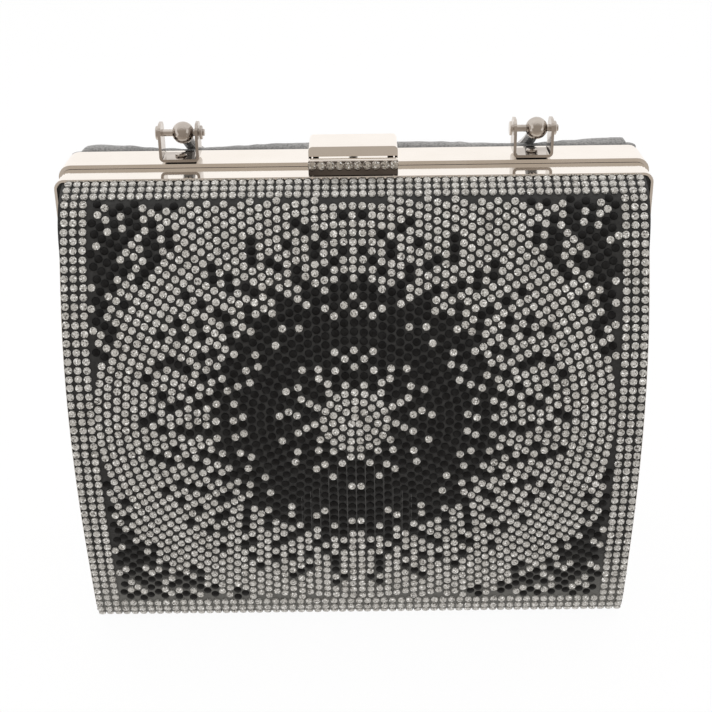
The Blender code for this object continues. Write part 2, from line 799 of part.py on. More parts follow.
def make_clasp_bar():
    """The fold-over bar: a hollow cover, open below and at the back, that turns on its pin."""
    top = FRAME_HEIGHT + CLASP_HEIGHT
    low = FRAME_HEIGHT + CLASP_SKIRT_LIFT
    half = CLASP_WIDTH / 2
    mesh_data = bmesh.new()
    verts = block(mesh_data, (-half, -CLASP_BAR_FRONT, low), (half, CLASP_BAR_REAR, top))
    edges = {edge for vert in verts for edge in vert.link_edges}
    along = [edge for edge in edges if all(v.co.z > (low + top) / 2 for v in edge.verts)]
    sides = [edge for edge in along if abs(edge.verts[0].co.x - edge.verts[1].co.x) < half]
    bmesh.ops.bevel(mesh_data, geom=sides, offset=CLASP_CORNER, segments=5, profile=ROUND, affect="EDGES")
    bar = object_from("clasp_bar", mesh_data, NICKEL)
    hollow = bmesh.new()
    block(
        hollow,
        (-half + CLASP_WALL, -CLASP_BAR_FRONT + CLASP_WALL, low - OVERRUN),
        (half - CLASP_WALL, CLASP_BAR_REAR + OVERRUN, top - CLASP_WALL),
    )
    shape_with(bar, object_from("clasp_bar_hollow", hollow, NICKEL), "DIFFERENCE")
    cuts = bmesh.new()
    block(
        cuts,
        (-half - OVERRUN, -CLASP_BAR_FRONT - OVERRUN, low - OVERRUN),
        (half + OVERRUN, -CLASP_BAR_FRONT + CLASP_WALL + GAP, FRAME_HEIGHT + CLASP_LIP_HEIGHT + GAP),
    )
    shape_with(bar, object_from("clasp_bar_relief", cuts, NICKEL), "DIFFERENCE")
    bore = bmesh.new()
    pin_z = FRAME_HEIGHT + CLASP_PIN_HEIGHT
    reach = half + OVERRUN
    cylinder(
        bore,
        (-reach, -CLASP_PIN_BACK, pin_z),
        (reach, -CLASP_PIN_BACK, pin_z),
        CLASP_PIN_RADIUS + PIN_HOLE_CLEARANCE,
    )
    shape_with(bar, object_from("clasp_bar_bore", bore, NICKEL), "DIFFERENCE")
    return bar


def make_clasp_pin():
    """The short pin that the bar turns on."""
    mesh_data = bmesh.new()
    half = CLASP_WIDTH / 2 - GAP
    pin_z = FRAME_HEIGHT + CLASP_PIN_HEIGHT
    cylinder(
        mesh_data, (-half, -CLASP_PIN_BACK, pin_z), (half, -CLASP_PIN_BACK, pin_z), CLASP_PIN_RADIUS
    )
    return object_from("clasp_pin", mesh_data, STEEL)


def make_rivet(name, place, wall_top, grip, radius, head, head_height):
    """A rivet through a frame's top wall, with a low domed head above and a flat one inside."""
    mesh_data = bmesh.new()
    tail = wall_top - FRAME_WALL - GAP
    top = wall_top + GAP + grip + GAP
    profile = (
        (0.0, tail - head_height),
        (head, tail - head_height),
        (head, tail),
        (radius, tail),
        (radius, top),
        (head, top),
        (head * 0.92, top + head_height * 0.5),
        (head * 0.6, top + head_height * 0.88),
        (0.0, top + head_height),
    )
    turned(mesh_data, profile, (*place, 0.0), (0.0, 0.0, 1.0), SMALL_SEGMENTS)
    return object_from(name, mesh_data, NICKEL)


def stud_depth():
    """How far behind the seam the clasp stud stands."""
    return SEAM_GAP / 2 + SEAM_LIP_DEPTH + GAP + CLASP_STUD_FOOT


def make_clasp_stud():
    """The stud on the rear frame that the bar snaps over."""
    mesh_data = bmesh.new()
    tail = REAR_TOP - FRAME_WALL - GAP
    foot = REAR_TOP + GAP
    crown = FRAME_HEIGHT + CLASP_HEIGHT - CLASP_WALL - CLASP_SNAP_CLEARANCE
    swell = CLASP_STUD_HEAD
    profile = (
        (0.0, tail - CLASP_STUD_FOOT_HEIGHT),
        (CLASP_STUD_FOOT, tail - CLASP_STUD_FOOT_HEIGHT),
        (CLASP_STUD_FOOT, tail),
        (CLASP_STUD_RADIUS, tail),
        (CLASP_STUD_RADIUS, foot),
        (CLASP_STUD_FOOT, foot),
        (CLASP_STUD_FOOT, foot + CLASP_STUD_FOOT_HEIGHT),
        (CLASP_STUD_RADIUS, foot + CLASP_STUD_FOOT_HEIGHT),
        (CLASP_STUD_RADIUS, crown - 2 * swell),
        (swell * 0.9, crown - 1.5 * swell),
        (swell, crown - swell),
        (swell * 0.87, crown - swell * 0.5),
        (swell * 0.5, crown - swell * 0.13),
        (0.0, crown),
    )
    turned(mesh_data, profile, (0.0, stud_depth(), 0.0), (0.0, 0.0, 1.0), SMALL_SEGMENTS)
    return object_from("clasp_stud", mesh_data, STEEL)


def make_bracket(name, x):
    """A U-shaped strap with rounded ears, drilled for the handle's pin and for its rivet."""
    half = BRACKET_WIDTH / 2
    floor = REAR_TOP + GAP
    top = floor + BRACKET_HEIGHT
    front, rear = BRACKET_FRONT, BRACKET_FRONT + BRACKET_DEPTH
    outer, inner = [], []
    for hand in (1.0, -1.0):
        turns = [math.pi / 2 * step / CORNER_STEPS for step in range(CORNER_STEPS + 1)]
        if hand < 0:
            turns.reverse()
        tip = [(hand * half, top)] if hand > 0 else []
        outer += tip
        inner += [(hand * (half - BRACKET_WALL), top)] if hand > 0 else []
        for bend, away, row in ((BRACKET_BEND, 0.0, outer), (BRACKET_BEND - BRACKET_WALL, BRACKET_WALL, inner)):
            cx, cz = half - BRACKET_BEND, floor + BRACKET_BEND
            for turn in turns:
                row.append((hand * (cx + bend * math.cos(turn)), cz - bend * math.sin(turn)))
        if hand < 0:
            outer.append((hand * half, top))
            inner.append((hand * (half - BRACKET_WALL), top))
    mesh_data = bmesh.new()
    loop = [(x + px, front, pz) for px, pz in outer + inner[::-1]]
    face = mesh_data.faces.new([mesh_data.verts.new(spot) for spot in loop])
    moved = bmesh.ops.extrude_face_region(mesh_data, geom=[face])["geom"]
    verts = [item for item in moved if isinstance(item, bmesh.types.BMVert)]
    bmesh.ops.translate(mesh_data, verts=verts, vec=(0.0, rear - front, 0.0))
    tips = [
        edge
        for edge in mesh_data.edges
        if all(v.co.z > top - BRACKET_WALL for v in edge.verts)
        and abs(edge.verts[0].co.y - edge.verts[1].co.y) < BRACKET_WALL
    ]
    bmesh.ops.bevel(mesh_data, geom=tips, offset=BRACKET_EAR_ROUND, segments=6, profile=ROUND, affect="EDGES")
    bracket = object_from(name, mesh_data, NICKEL)
    cuts = bmesh.new()
    reach = half + OVERRUN
    cylinder(
        cuts,
        (x - reach, PIN_DEPTH, PIN_AXIS_HEIGHT),
        (x + reach, PIN_DEPTH, PIN_AXIS_HEIGHT),
        PIN_RADIUS + PIN_HOLE_CLEARANCE,
        segments=ROUND_SEGMENTS,
    )
    cylinder(
        cuts,
        (x, PIN_DEPTH, floor - OVERRUN),
        (x, PIN_DEPTH, floor + BRACKET_WALL + OVERRUN),
        RIVET_RADIUS + GAP,
    )
    shape_with(bracket, object_from(f"{name}_bores", cuts, NICKEL), "DIFFERENCE")
    return bracket


def make_handle_pin(name, x):
    """A headed pin through both ears of a bracket, its tail past the retaining ring."""
    mesh_data = bmesh.new()
    start = -(BRACKET_WIDTH / 2 + GAP + PIN_HEAD_WIDTH)
    end = BRACKET_WIDTH / 2 + GAP + PIN_HEAD_WIDTH + PIN_TAIL
    edge = PIN_HEAD_WIDTH / 4
    profile = (
        (0.0, start),
        (PIN_HEAD_RADIUS - edge, start),
        (PIN_HEAD_RADIUS, start + edge),
        (PIN_HEAD_RADIUS, start + PIN_HEAD_WIDTH),
        (PIN_RADIUS, start + PIN_HEAD_WIDTH),
        (PIN_RADIUS, end - edge),
        (PIN_RADIUS - edge, end),
        (0.0, end),
    )
    turned(mesh_data, profile, (x, PIN_DEPTH, PIN_AXIS_HEIGHT), (1.0, 0.0, 0.0))
    return object_from(name, mesh_data, NICKEL)


def make_pin_ring(name, x):
    """The ring that keeps a handle pin in its bracket."""
    mesh_data = bmesh.new()
    inner = PIN_RADIUS + PIN_HOLE_CLEARANCE
    near = x + BRACKET_WIDTH / 2 + GAP
    far = near + PIN_HEAD_WIDTH
    loops = []
    edge = PIN_HEAD_WIDTH / 4
    section = (
        (inner, near),
        (PIN_HEAD_RADIUS, near),
        (PIN_HEAD_RADIUS, far - edge),
        (PIN_HEAD_RADIUS - edge, far),
        (inner, far),
    )
    for radius, place in section:
        loop = []
        for step in range(ROUND_SEGMENTS):
            angle = math.tau * step / ROUND_SEGMENTS
            y = PIN_DEPTH + radius * math.cos(angle)
            z = PIN_AXIS_HEIGHT + radius * math.sin(angle)
            loop.append((place, y, z))
        loops.append(loop)
    add_ring(mesh_data, loops)
    return object_from(name, mesh_data, NICKEL)


def handle_rest_angle():
    """How far below level the folded-back handle lies, touching the cover's full shoulder."""
    dense = face_profile(REAR)
    lowest = math.pi / 2
    arms = [bracket_place(hand) + BALL_SIDE_SHIFT for hand in (-1.0, 1.0)]
    edges = [arm + hand * HANDLE_RADIUS for arm in arms for hand in (-1.0, 1.0)]
    for index in range(COVER_FIRST_LEVEL, FACE_LEVELS):
        for x in edges:
            (_, y, z), _ = cover_point(x / cover_half(), index, dense)
            run, drop = y - PIN_DEPTH, PIN_AXIS_HEIGHT - z
            reach = math.hypot(run, drop)
            room = math.asin(min(1.0, (HANDLE_RADIUS + GAP) / reach))
            lowest = min(lowest, math.atan2(drop, run) - room)
    return lowest


def make_ball_end(name, x):
    """The ball on the end of a handle arm, bored for its pin, with a short neck."""
    mesh_data = bmesh.new()
    centre = Vector((x, 0.0, 0.0))
    steps = 12
    profile = [(0.0, -BALL_RADIUS)]
    joint = math.asin(NECK_RADIUS / BALL_RADIUS)
    span = math.pi - joint
    for step in range(1, steps + 1):
        angle = span * step / steps
        profile.append((BALL_RADIUS * math.sin(angle), -BALL_RADIUS * math.cos(angle)))
    profile += [(NECK_RADIUS, NECK_REACH), (0.0, NECK_REACH)]
    turned(mesh_data, profile, centre, (0.0, 1.0, 0.0))
    ball = object_from(name, mesh_data, NICKEL)
    bore = bmesh.new()
    reach = BALL_RADIUS + OVERRUN
    cylinder(
        bore,
        (x - reach, 0.0, 0.0),
        (x + reach, 0.0, 0.0),
        PIN_RADIUS + PIN_HOLE_CLEARANCE,
        segments=ROUND_SEGMENTS,
    )
    cutter = object_from(f"{name}_bore", bore, NICKEL)
    shape_with(ball, cutter, "DIFFERENCE")
    return ball, cutter


def make_handle_bar():
    """The arched bar between the two ball ends, modelled level behind its axis."""
    half = BRACKET_SPAN / 2
    start = NECK_REACH + GAP
    foot = HANDLE_STRAIGHT
    rise = HANDLE_RISE - foot
    arch = []
    for step in range(ARCH_STEPS + 1):
        angle = math.pi * step / ARCH_STEPS
        cosine, sine = math.cos(angle), math.sin(angle)
        x = -math.copysign(abs(cosine) ** (2 / ARCH_POWER), cosine) * half
        arch.append((x, foot + rise * abs(sine) ** (2 / ARCH_POWER)))
    points = [(-half, start), *arch, (half, start)]
    points = evenly(points, ARCH_STEPS + 1)
    curve = bpy.data.curves.new("handle_bar", "CURVE")
    curve.dimensions = "3D"
    curve.bevel_depth = HANDLE_RADIUS
    curve.bevel_resolution = 2
    curve.use_fill_caps = True
    spline = curve.splines.new("POLY")
    spline.points.add(len(points) - 1)
    for point, (x, y) in zip(spline.points, points):
        point.co = (x + BRACKET_SHIFT + BALL_SIDE_SHIFT, y, 0.0, 1.0)
    curve.materials.append(material_for(LACQUER))
    bar = bpy.data.objects.new("handle_bar", curve)
    bpy.context.scene.collection.objects.link(bar)
    return bar


def drill_top(frame, wall_top, holes):
    """Cuts round holes through a frame's top wall at (x, y, radius) places."""
    cuts = bmesh.new()
    for x, y, radius in holes:
        cylinder(
            cuts,
            (x, y, wall_top - FRAME_WALL - OVERRUN),
            (x, y, wall_top + OVERRUN),
            radius,
        )
    shape_with(frame, object_from(f"{frame.name}_holes", cuts, NICKEL), "DIFFERENCE")


def build_front_half():
    """Everything that turns with the front frame, apart from the clasp bar."""
    frame = make_frame("front_frame", FRONT, FRONT_DEPTH)
    drill_top(frame, FRAME_HEIGHT, [(x, y, CLASP_RIVET_RADIUS + GAP) for x, y in rivet_places()])
    sizes = (CLASP_RIVET_RADIUS, CLASP_RIVET_HEAD, CLASP_RIVET_HEAD_HEIGHT)
    rivets = [
        make_rivet(f"clasp_rivet_{hand}", place, FRAME_HEIGHT, CLASP_FLOOR_WALL, *sizes)
        for hand, place in zip(("left", "right"), rivet_places())
    ]
    return [
        frame,
        make_shell("front_shell", FRONT, FRONT_DEPTH),
        make_panel("front_panel"),
        make_lining("front_lining", FRONT, FRONT_DEPTH),
        make_hinge_leaf("hinge_leaf_front", FRONT, 0),
        make_clasp_base(),
        make_clasp_pin(),
        *rivets,
    ]


def bracket_place(sign):
    """Where a bracket stands across the bag."""
    return sign * BRACKET_SPAN / 2 + BRACKET_SHIFT


def build_rear_half():
    """Everything that stays with the rear frame."""
    frame = make_frame("rear_frame", REAR, REAR_DEPTH)
    places = {"left": bracket_place(-1.0), "right": bracket_place(1.0)}
    holes = [(x, PIN_DEPTH, RIVET_RADIUS + GAP) for x in places.values()]
    drill_top(frame, REAR_TOP, [*holes, (0.0, stud_depth(), CLASP_STUD_RADIUS + GAP)])
    make_shell("rear_shell", REAR, REAR_DEPTH)
    make_cover("rear_cover")
    make_lining("rear_lining", REAR, REAR_DEPTH)
    make_hinge_leaf("hinge_leaf_rear", REAR, 1)
    make_hinge_pin()
    make_clasp_stud()
    sizes = (RIVET_RADIUS, RIVET_HEAD, RIVET_HEAD_HEIGHT)
    for hand, x in places.items():
        make_bracket(f"{hand}_bracket", x)
        make_handle_pin(f"{hand}_handle_pin", x)
        make_pin_ring(f"{hand}_pin_ring", x)
        make_rivet(f"{hand}_bracket_rivet", (x, PIN_DEPTH), REAR_TOP, BRACKET_WALL, *sizes)


def build_handle():
    """The handle, modelled about its own axis and hung folded back."""
    swing = axis("handle_axis", (0.0, PIN_DEPTH, PIN_AXIS_HEIGHT), -handle_rest_angle())
    pieces = [make_handle_bar()]
    for hand, sign in (("left", -1.0), ("right", 1.0)):
        x = bracket_place(sign) + BALL_SIDE_SHIFT
        pieces += make_ball_end(f"{hand}_ball_end", x)
    for piece in pieces:
        piece.parent = swing


def place_over_origin():
    """Moves the whole bag so that the middle of its outline stands over the origin."""
    rear_reach = PIN_DEPTH + HANDLE_RISE * math.cos(handle_rest_angle()) + HANDLE_RADIUS
    front_reach = FRONT_DEPTH + SHELL_BULGE
    loose = [item for item in bpy.data.objects if item.parent is None]
    whole = axis("whole_bag", (0.0, (front_reach - rear_reach) / 2, 0.0))
    for item in loose:
        item.parent = whole


def main():
    """Clears the scene and builds the closed bag."""
    for item in list(bpy.data.objects):
        bpy.data.objects.remove(item, do_unlink=True)
    front_axis = axis("front_opening_axis", (0.0, 0.0, HINGE_AXIS_HEIGHT))
    hang_on(front_axis, *build_front_half())
    place = (0.0, -CLASP_PIN_BACK, FRAME_HEIGHT + CLASP_PIN_HEIGHT)
    clasp_axis = axis("clasp_axis", place)
    hang_on(clasp_axis, make_clasp_bar())
    build_rear_half()
    build_handle()
    place_over_origin()


if __name__ == "__main__":
    main()
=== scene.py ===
"""Evening clutch: the dressed scene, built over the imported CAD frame.

The metal pieces keep their CAD shapes and get finished materials and broken edges. The stone
front, the padded back, the linings and the stones of the clasp are built here. Lengths are in
metres, X to the right, Y to the rear and Z up.
"""

from __future__ import annotations

import logging
import math
from dataclasses import dataclass
from enum import Enum
from functools import cached_property
from typing import Iterable, Mapping, Sequence, Union

import bpy
import numpy as np
from mathutils import Matrix, Vector

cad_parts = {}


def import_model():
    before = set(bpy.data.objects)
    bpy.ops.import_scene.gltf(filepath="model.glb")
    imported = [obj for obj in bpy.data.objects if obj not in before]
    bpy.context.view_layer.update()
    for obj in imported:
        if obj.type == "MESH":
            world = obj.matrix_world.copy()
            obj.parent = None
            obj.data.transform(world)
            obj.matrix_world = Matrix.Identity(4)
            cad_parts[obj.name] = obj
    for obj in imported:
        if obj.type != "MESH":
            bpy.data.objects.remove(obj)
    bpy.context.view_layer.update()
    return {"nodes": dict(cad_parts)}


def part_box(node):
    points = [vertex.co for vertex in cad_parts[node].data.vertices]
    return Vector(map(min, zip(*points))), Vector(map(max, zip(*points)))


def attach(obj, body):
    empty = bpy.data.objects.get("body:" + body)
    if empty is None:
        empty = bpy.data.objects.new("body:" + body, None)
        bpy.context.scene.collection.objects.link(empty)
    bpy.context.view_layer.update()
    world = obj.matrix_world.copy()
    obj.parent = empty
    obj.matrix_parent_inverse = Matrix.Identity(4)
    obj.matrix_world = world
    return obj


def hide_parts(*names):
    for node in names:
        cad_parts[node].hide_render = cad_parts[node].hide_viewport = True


LOG = logging.getLogger("evening_clutch")

Pair = tuple[float, float]
Triple = tuple[float, float, float]
Grids = tuple[np.ndarray, np.ndarray]
MeshParts = tuple[list[Sequence[float]], list[tuple[int, ...]]]
Feed = Union["Value", bpy.types.NodeSocket, bpy.types.ID, float, str, Triple]


# --------------------------------------------------------------------------- named options


class Body(Enum):
    """The moving bodies that the scene's own pieces ride on."""

    FRONT_HALF = "front_half"
    REAR_HALF = "rear_half"


class Slot(Enum):
    """The record's material slots that the scene's own pieces stand for."""

    STONE_BACKING = "stone_backing"
    SMOKED_NICKEL = "smoked_nickel"
    VELVET = "velvet"
    SATIN = "satin"


class Shading(Enum):
    """How the faces of a mesh are shaded."""

    FLAT = False
    SMOOTH = True


class Hand(Enum):
    """The two sides of the clutch, as the sign of X."""

    LEFT = -1.0
    RIGHT = 1.0


class Easing(Enum):
    """How a value rises between its ends, in the words of Map Range."""

    STRAIGHT = "LINEAR"
    SOFT = "SMOOTHSTEP"


# --------------------------------------------------------------------------- meshes


def new_object(
    name: str,
    vertices: Iterable[Sequence[float]],
    faces: Iterable[Sequence[int]],
    shading: Shading,
    edges: Iterable[tuple[int, int]] = (),
) -> bpy.types.Object:
    """Makes a linked mesh object at the origin.

    Args:
        name: Name of the object and its mesh.
        vertices: World places.
        faces: Vertex numbers of each face, counter-clockwise from outside.
        shading: How every face is shaded.
        edges: Vertex numbers of edges that no face has.

    Returns:
        The object.
    """
    mesh = bpy.data.meshes.new(name)
    places = [tuple(map(float, place)) for place in vertices]
    mesh.from_pydata(places, list(edges), [tuple(face) for face in faces])
    mesh.validate()
    mesh.polygons.foreach_set("use_smooth", [shading.value] * len(mesh.polygons))
    return linked(name, mesh)


def linked(name: str, data: bpy.types.ID) -> bpy.types.Object:
    """Makes an object of a mesh, lamp or camera and links it.

    Args:
        name: Name of the object.
        data: What the object holds.

    Returns:
        The object.
    """
    piece = bpy.data.objects.new(name, data)
    bpy.context.scene.collection.objects.link(piece)
    return piece


def baked(name: str, source: bpy.types.Object) -> bpy.types.Object:
    """Turns an object with modifiers into a plain mesh object, and removes the first.

    Args:
        name: Name of the new object.
        source: The object to evaluate.

    Returns:
        The plain object.
    """
    graph = bpy.context.evaluated_depsgraph_get()
    graph.update()
    mesh = bpy.data.meshes.new_from_object(source.evaluated_get(graph), depsgraph=graph)
    mesh.name = name
    bpy.data.objects.remove(source, do_unlink=True)
    return linked(name, mesh)


def coat(piece: bpy.types.Object, finish: Finish) -> None:
    """Gives a piece one finish in place of what it has.

    Args:
        piece: The piece.
        finish: Its finish.
    """
    piece.data.materials.clear()
    piece.data.materials.append(finish.material)


def shell_of_grids(outer: np.ndarray, inner: np.ndarray) -> MeshParts:
    """Closes the space between two grids of points of the same size.

    Args:
        outer: Rows of places on the outer side.
        inner: The same on the inner side.

    Returns:
        Vertices and faces of the closed body.
    """
    rows, columns = outer.shape[:2]
    vertices = [*outer.reshape(-1, 3), *inner.reshape(-1, 3)]

    def at(layer: int, row: int, column: int) -> int:
        """Number of a vertex by its layer, row and column."""
        return (layer * rows + row) * columns + column

    faces = []
    for i in range(rows - 1):
        for j in range(columns - 1):
            faces.append((at(0, i, j), at(0, i, j + 1), at(0, i + 1, j + 1), at(0, i + 1, j)))
            faces.append((at(1, i, j), at(1, i + 1, j), at(1, i + 1, j + 1), at(1, i, j + 1)))
    for i in range(rows - 1):
        for j, turned in ((0, False), (columns - 1, True)):
            rim = (at(0, i, j), at(0, i + 1, j), at(1, i + 1, j), at(1, i, j))
            faces.append(rim[::-1] if turned else rim)
    for j in range(columns - 1):
        for i, turned in ((0, True), (rows - 1, False)):
            rim = (at(0, i, j), at(0, i, j + 1), at(1, i, j + 1), at(1, i, j))
            faces.append(rim[::-1] if turned else rim)
    return vertices, faces


def lathe_facets(rings: Sequence[Triple], sides: int) -> MeshParts:
    """Lays flat facets through rings of corners and closes both ends.

    Args:
        rings: (radius, height, turn in half steps) of each ring, from the base up.
        sides: Corners in a ring.

    Returns:
        Vertices and faces of the closed body.
    """
    vertices, faces = [], []
    for radius, height, turn in rings:
        for step in range(sides):
            angle = math.tau * (step + turn / 2) / sides
            vertices.append((radius * math.cos(angle), radius * math.sin(angle), height))
    for ring, (lower, upper) in enumerate(zip(rings, rings[1:])):
        base = ring * sides
        shift = int(upper[2] - lower[2])
        for step in range(sides):
            after = (step + 1) % sides
            low, low_next = base + step, base + after
            high, high_next = base + sides + step, base + sides + after
            if shift == 0:
                faces.append((low, low_next, high_next, high))
            elif shift > 0:
                faces += [(low, low_next, high), (low_next, high_next, high)]
            else:
                faces += [(low, low_next, high_next), (low, high_next, high)]
    top = (len(rings) - 1) * sides
    faces.append(tuple(range(sides))[::-1])
    faces.append(tuple(range(top, top + sides)))
    return vertices, faces


def ripples(x: np.ndarray, y: np.ndarray, seed: int, wave: float) -> np.ndarray:
    """Smooth seeded relief, from crossing waves of falling length.

    Args:
        x: Places along one way.
        y: Places along the other.
        seed: Seed of the waves.
        wave: Length of the longest waves.

    Returns:
        Heights between about -1 and 1.
    """
    octaves, crossing = 3, 5
    dice = np.random.default_rng(seed)
    total, weight, size = np.zeros(np.broadcast(x, y).shape), 1.0, 0.0
    for octave in range(octaves):
        for _ in range(crossing):
            angle, phase = dice.uniform(0.0, math.tau, 2)
            pitch = wave * dice.uniform(0.7, 1.4) / 2**octave
            along = (x * math.cos(angle) + y * math.sin(angle)) * math.tau / pitch
            total = total + weight * np.sin(along + phase)
        size += weight * crossing**0.5
        weight *= 0.5
    return total / size


def settle(
    piece: bpy.types.Object, body: Body, replaces: str = ""
) -> bpy.types.Object:
    """Puts a finished piece on its body and hides the CAD node that it replaces.

    Args:
        piece: The piece.
        body: The body that it rides on.
        replaces: The CAD node whose place it takes, if any.

    Returns:
        The piece.
    """
    if replaces:
        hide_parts(replaces)
    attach(piece, body.value)
    return piece


# --------------------------------------------------------------------------- node trees


class Value:
    """A varying number: a socket in Python expressions, each of which adds its Math node."""

    def __init__(self, graph: Graph, socket: bpy.types.NodeSocket) -> None:
        """Wraps a socket of a graph."""
        self.graph, self.socket = graph, socket

    def maths(self, operation: str, *terms: Feed) -> Value:
        """Adds a Math node.

        Args:
            operation: The node's operation.
            *terms: Its inputs in order.

        Returns:
            The node's result.
        """
        feeds = dict(enumerate(terms))
        node = self.graph.node("ShaderNodeMath", {"operation": operation}, feeds)
        return Value(self.graph, node.outputs[0])

    def __add__(self, other: Feed) -> Value:
        """This value plus another."""
        return self.maths("ADD", self, other)

    def __radd__(self, other: Feed) -> Value:
        """Another value plus this one."""
        return self.maths("ADD", other, self)

    def __sub__(self, other: Feed) -> Value:
        """This value less another."""
        return self.maths("SUBTRACT", self, other)

    def __rsub__(self, other: Feed) -> Value:
        """Another value less this one."""
        return self.maths("SUBTRACT", other, self)

    def __mul__(self, other: Feed) -> Value:
        """This value times another."""
        return self.maths("MULTIPLY", self, other)

    def __rmul__(self, other: Feed) -> Value:
        """Another value times this one."""
        return self.maths("MULTIPLY", other, self)

    def __or__(self, other: Feed) -> Value:
        """The larger of this value and another, as where either mask holds."""
        return self.maths("MAXIMUM", self, other)

    def __abs__(self) -> Value:
        """This value without its sign."""
        return self.maths("ABSOLUTE", self)


class Graph:
    """A node tree with one method that adds nodes."""

    def __init__(self, tree: bpy.types.NodeTree) -> None:
        """Wraps a tree."""
        self.tree = tree

    def feed(self, socket: bpy.types.NodeSocket, feed: Feed) -> None:
        """Links an input, or sets its constant.

        Args:
            socket: The input.
            feed: A value or output to link, or a number, colour, vector or data block.
        """
        feed = feed.socket if isinstance(feed, Value) else feed
        if isinstance(feed, bpy.types.NodeSocket):
            self.tree.links.new(feed, socket)
        elif socket.type == "RGBA":
            socket.default_value = (*feed, 1.0)
        else:
            socket.default_value = feed

    def node(
        self,
        kind: str,
        settings: Mapping[str, object] | None = None,
        feeds: Mapping[str | int, Feed] | None = None,
    ) -> bpy.types.Node:
        """Adds a node.

        Args:
            kind: The node's type.
            settings: Its properties, which are set first.
            feeds: Values or links of its inputs, by name or number.

        Returns:
            The node.
        """
        node = self.tree.nodes.new(kind)
        for key, setting in (settings or {}).items():
            setattr(node, key, setting)
        for key, feed in (feeds or {}).items():
            self.feed(node.inputs[key], feed)
        return node

    def rise(
        self, value: Feed, start: float, end: float, easing: Easing = Easing.STRAIGHT
    ) -> Value:
        """A value turned into 0 to 1 between two levels, and held there beyond them.

        Args:
            value: What rises.
            start: Where the result is 0.
            end: Where the result is 1.
            easing: How it gets there.

        Returns:
            The share.
        """
        feeds = {"Value": value, "From Min": start, "From Max": end}
        settings = {"interpolation_type": easing.value}
        node = self.node("ShaderNodeMapRange", settings, feeds)
        return Value(self, node.outputs["Result"])

    def mix(self, factor: Feed, first: Feed, second: Feed) -> bpy.types.NodeSocket:
        """Two colours mixed, by the share of the second one."""
        feeds = {"Factor": factor, 6: first, 7: second}
        return self.node("ShaderNodeMix", {"data_type": "RGBA"}, feeds).outputs[2]

    def axes(self, vector: Feed) -> tuple[Value, Value, Value]:
        """The three numbers of a vector.

        Args:
            vector: The vector.

        Returns:
            X, Y and Z.
        """
        node = self.node("ShaderNodeSeparateXYZ", None, {0: vector})
        x, y, z = (Value(self, output) for output in node.outputs)
        return x, y, z


class Surface(Graph):
    """A material's tree, with the patterns that the finishes share."""

    def __init__(self, name: str) -> None:
        """Starts a material.

        Args:
            name: The material's name.
        """
        self.material = bpy.data.materials.new(name)
        self.material.use_nodes = True
        super().__init__(self.material.node_tree)
        self.shader = self.tree.nodes["Principled BSDF"]
        self.place = self.node("ShaderNodeTexCoord").outputs["Object"]

    def dress(self, feeds: Mapping[str, Feed]) -> None:
        """Sets or links inputs of the shader, by their names."""
        for key, feed in feeds.items():
            self.feed(self.shader.inputs[key], feed)

    def stretched(self, scale: Triple) -> bpy.types.NodeSocket:
        """Object space, scaled by axis."""
        feeds = {"Vector": self.place, "Scale": scale}
        return self.node("ShaderNodeMapping", None, feeds).outputs["Vector"]

    def noise(
        self, scale: float, detail: float = 3.0, place: bpy.types.NodeSocket | None = None
    ) -> Value:
        """Noise, 0 to 1, in object space or in a stretched one."""
        feeds = {"Vector": place or self.place, "Scale": scale, "Detail": detail}
        return Value(self, self.node("ShaderNodeTexNoise", None, feeds).outputs["Fac"])

    def streaks(self, scale: Triple, detail: float) -> Value:
        """Noise, 0 to 1, drawn out along an axis."""
        return self.noise(1.0, detail, place=self.stretched(scale))

    def cells(self, scale: float) -> Value:
        """Distance to the nearest of scattered points in object space."""
        feeds = {"Vector": self.place, "Scale": scale}
        return Value(self, self.node("ShaderNodeTexVoronoi", None, feeds).outputs["Distance"])

    def relief(self, height: Value, strength: float, depth: float) -> None:
        """Adds relief over what is there already.

        Args:
            height: The relief's height, 0 to 1.
            strength: Its strength.
            depth: Its depth in metres.
        """
        feeds = {"Height": height, "Strength": strength, "Distance": depth}
        normal = self.shader.inputs["Normal"]
        if normal.is_linked:
            feeds["Normal"] = normal.links[0].from_socket
        self.feed(normal, self.node("ShaderNodeBump", None, feeds).outputs["Normal"])


class ShapeTree(Graph):
    """A Geometry Nodes tree with named inputs."""

    def __init__(self, name: str, inputs: Mapping[str, str]) -> None:
        """Starts a tree that takes and gives geometry.

        Args:
            name: The tree's name.
            inputs: Socket type of each further input, by its name.
        """
        super().__init__(bpy.data.node_groups.new(name, "GeometryNodeTree"))
        sockets = {"Geometry": "NodeSocketGeometry", **inputs}
        for key, kind in sockets.items():
            self.tree.interface.new_socket(key, in_out="INPUT", socket_type=kind)
        self.tree.interface.new_socket(
            "Geometry", in_out="OUTPUT", socket_type="NodeSocketGeometry"
        )
        self.given = self.node("NodeGroupInput").outputs

    def close(self, geometry: bpy.types.NodeSocket) -> None:
        """Ends the tree in Realize Instances and Set Material.

        Args:
            geometry: What the tree has made.
        """
        whole = self.node("GeometryNodeRealizeInstances", None, {0: geometry})
        feeds = {"Geometry": whole.outputs[0], "Material": self.given["Material"]}
        coated = self.node("GeometryNodeSetMaterial", None, feeds)
        self.node("NodeGroupOutput", None, {0: coated.outputs[0]})

    def run(
        self, name: str, source: bpy.types.Object, values: Mapping[str, object]
    ) -> bpy.types.Object:
        """Runs the tree on an object and keeps the result as a plain mesh.

        Args:
            name: Name of the finished piece.
            source: The object that the tree starts from, which is removed.
            values: What the named inputs get.

        Returns:
            The finished piece.
        """
        modifier = source.modifiers.new(self.tree.name, "NODES")
        modifier.node_group = self.tree
        for item in self.tree.interface.items_tree:
            if item.in_out == "INPUT" and item.name in values:
                modifier[item.identifier] = values[item.name]
        return baked(name, source)


# --------------------------------------------------------------------------- finishes


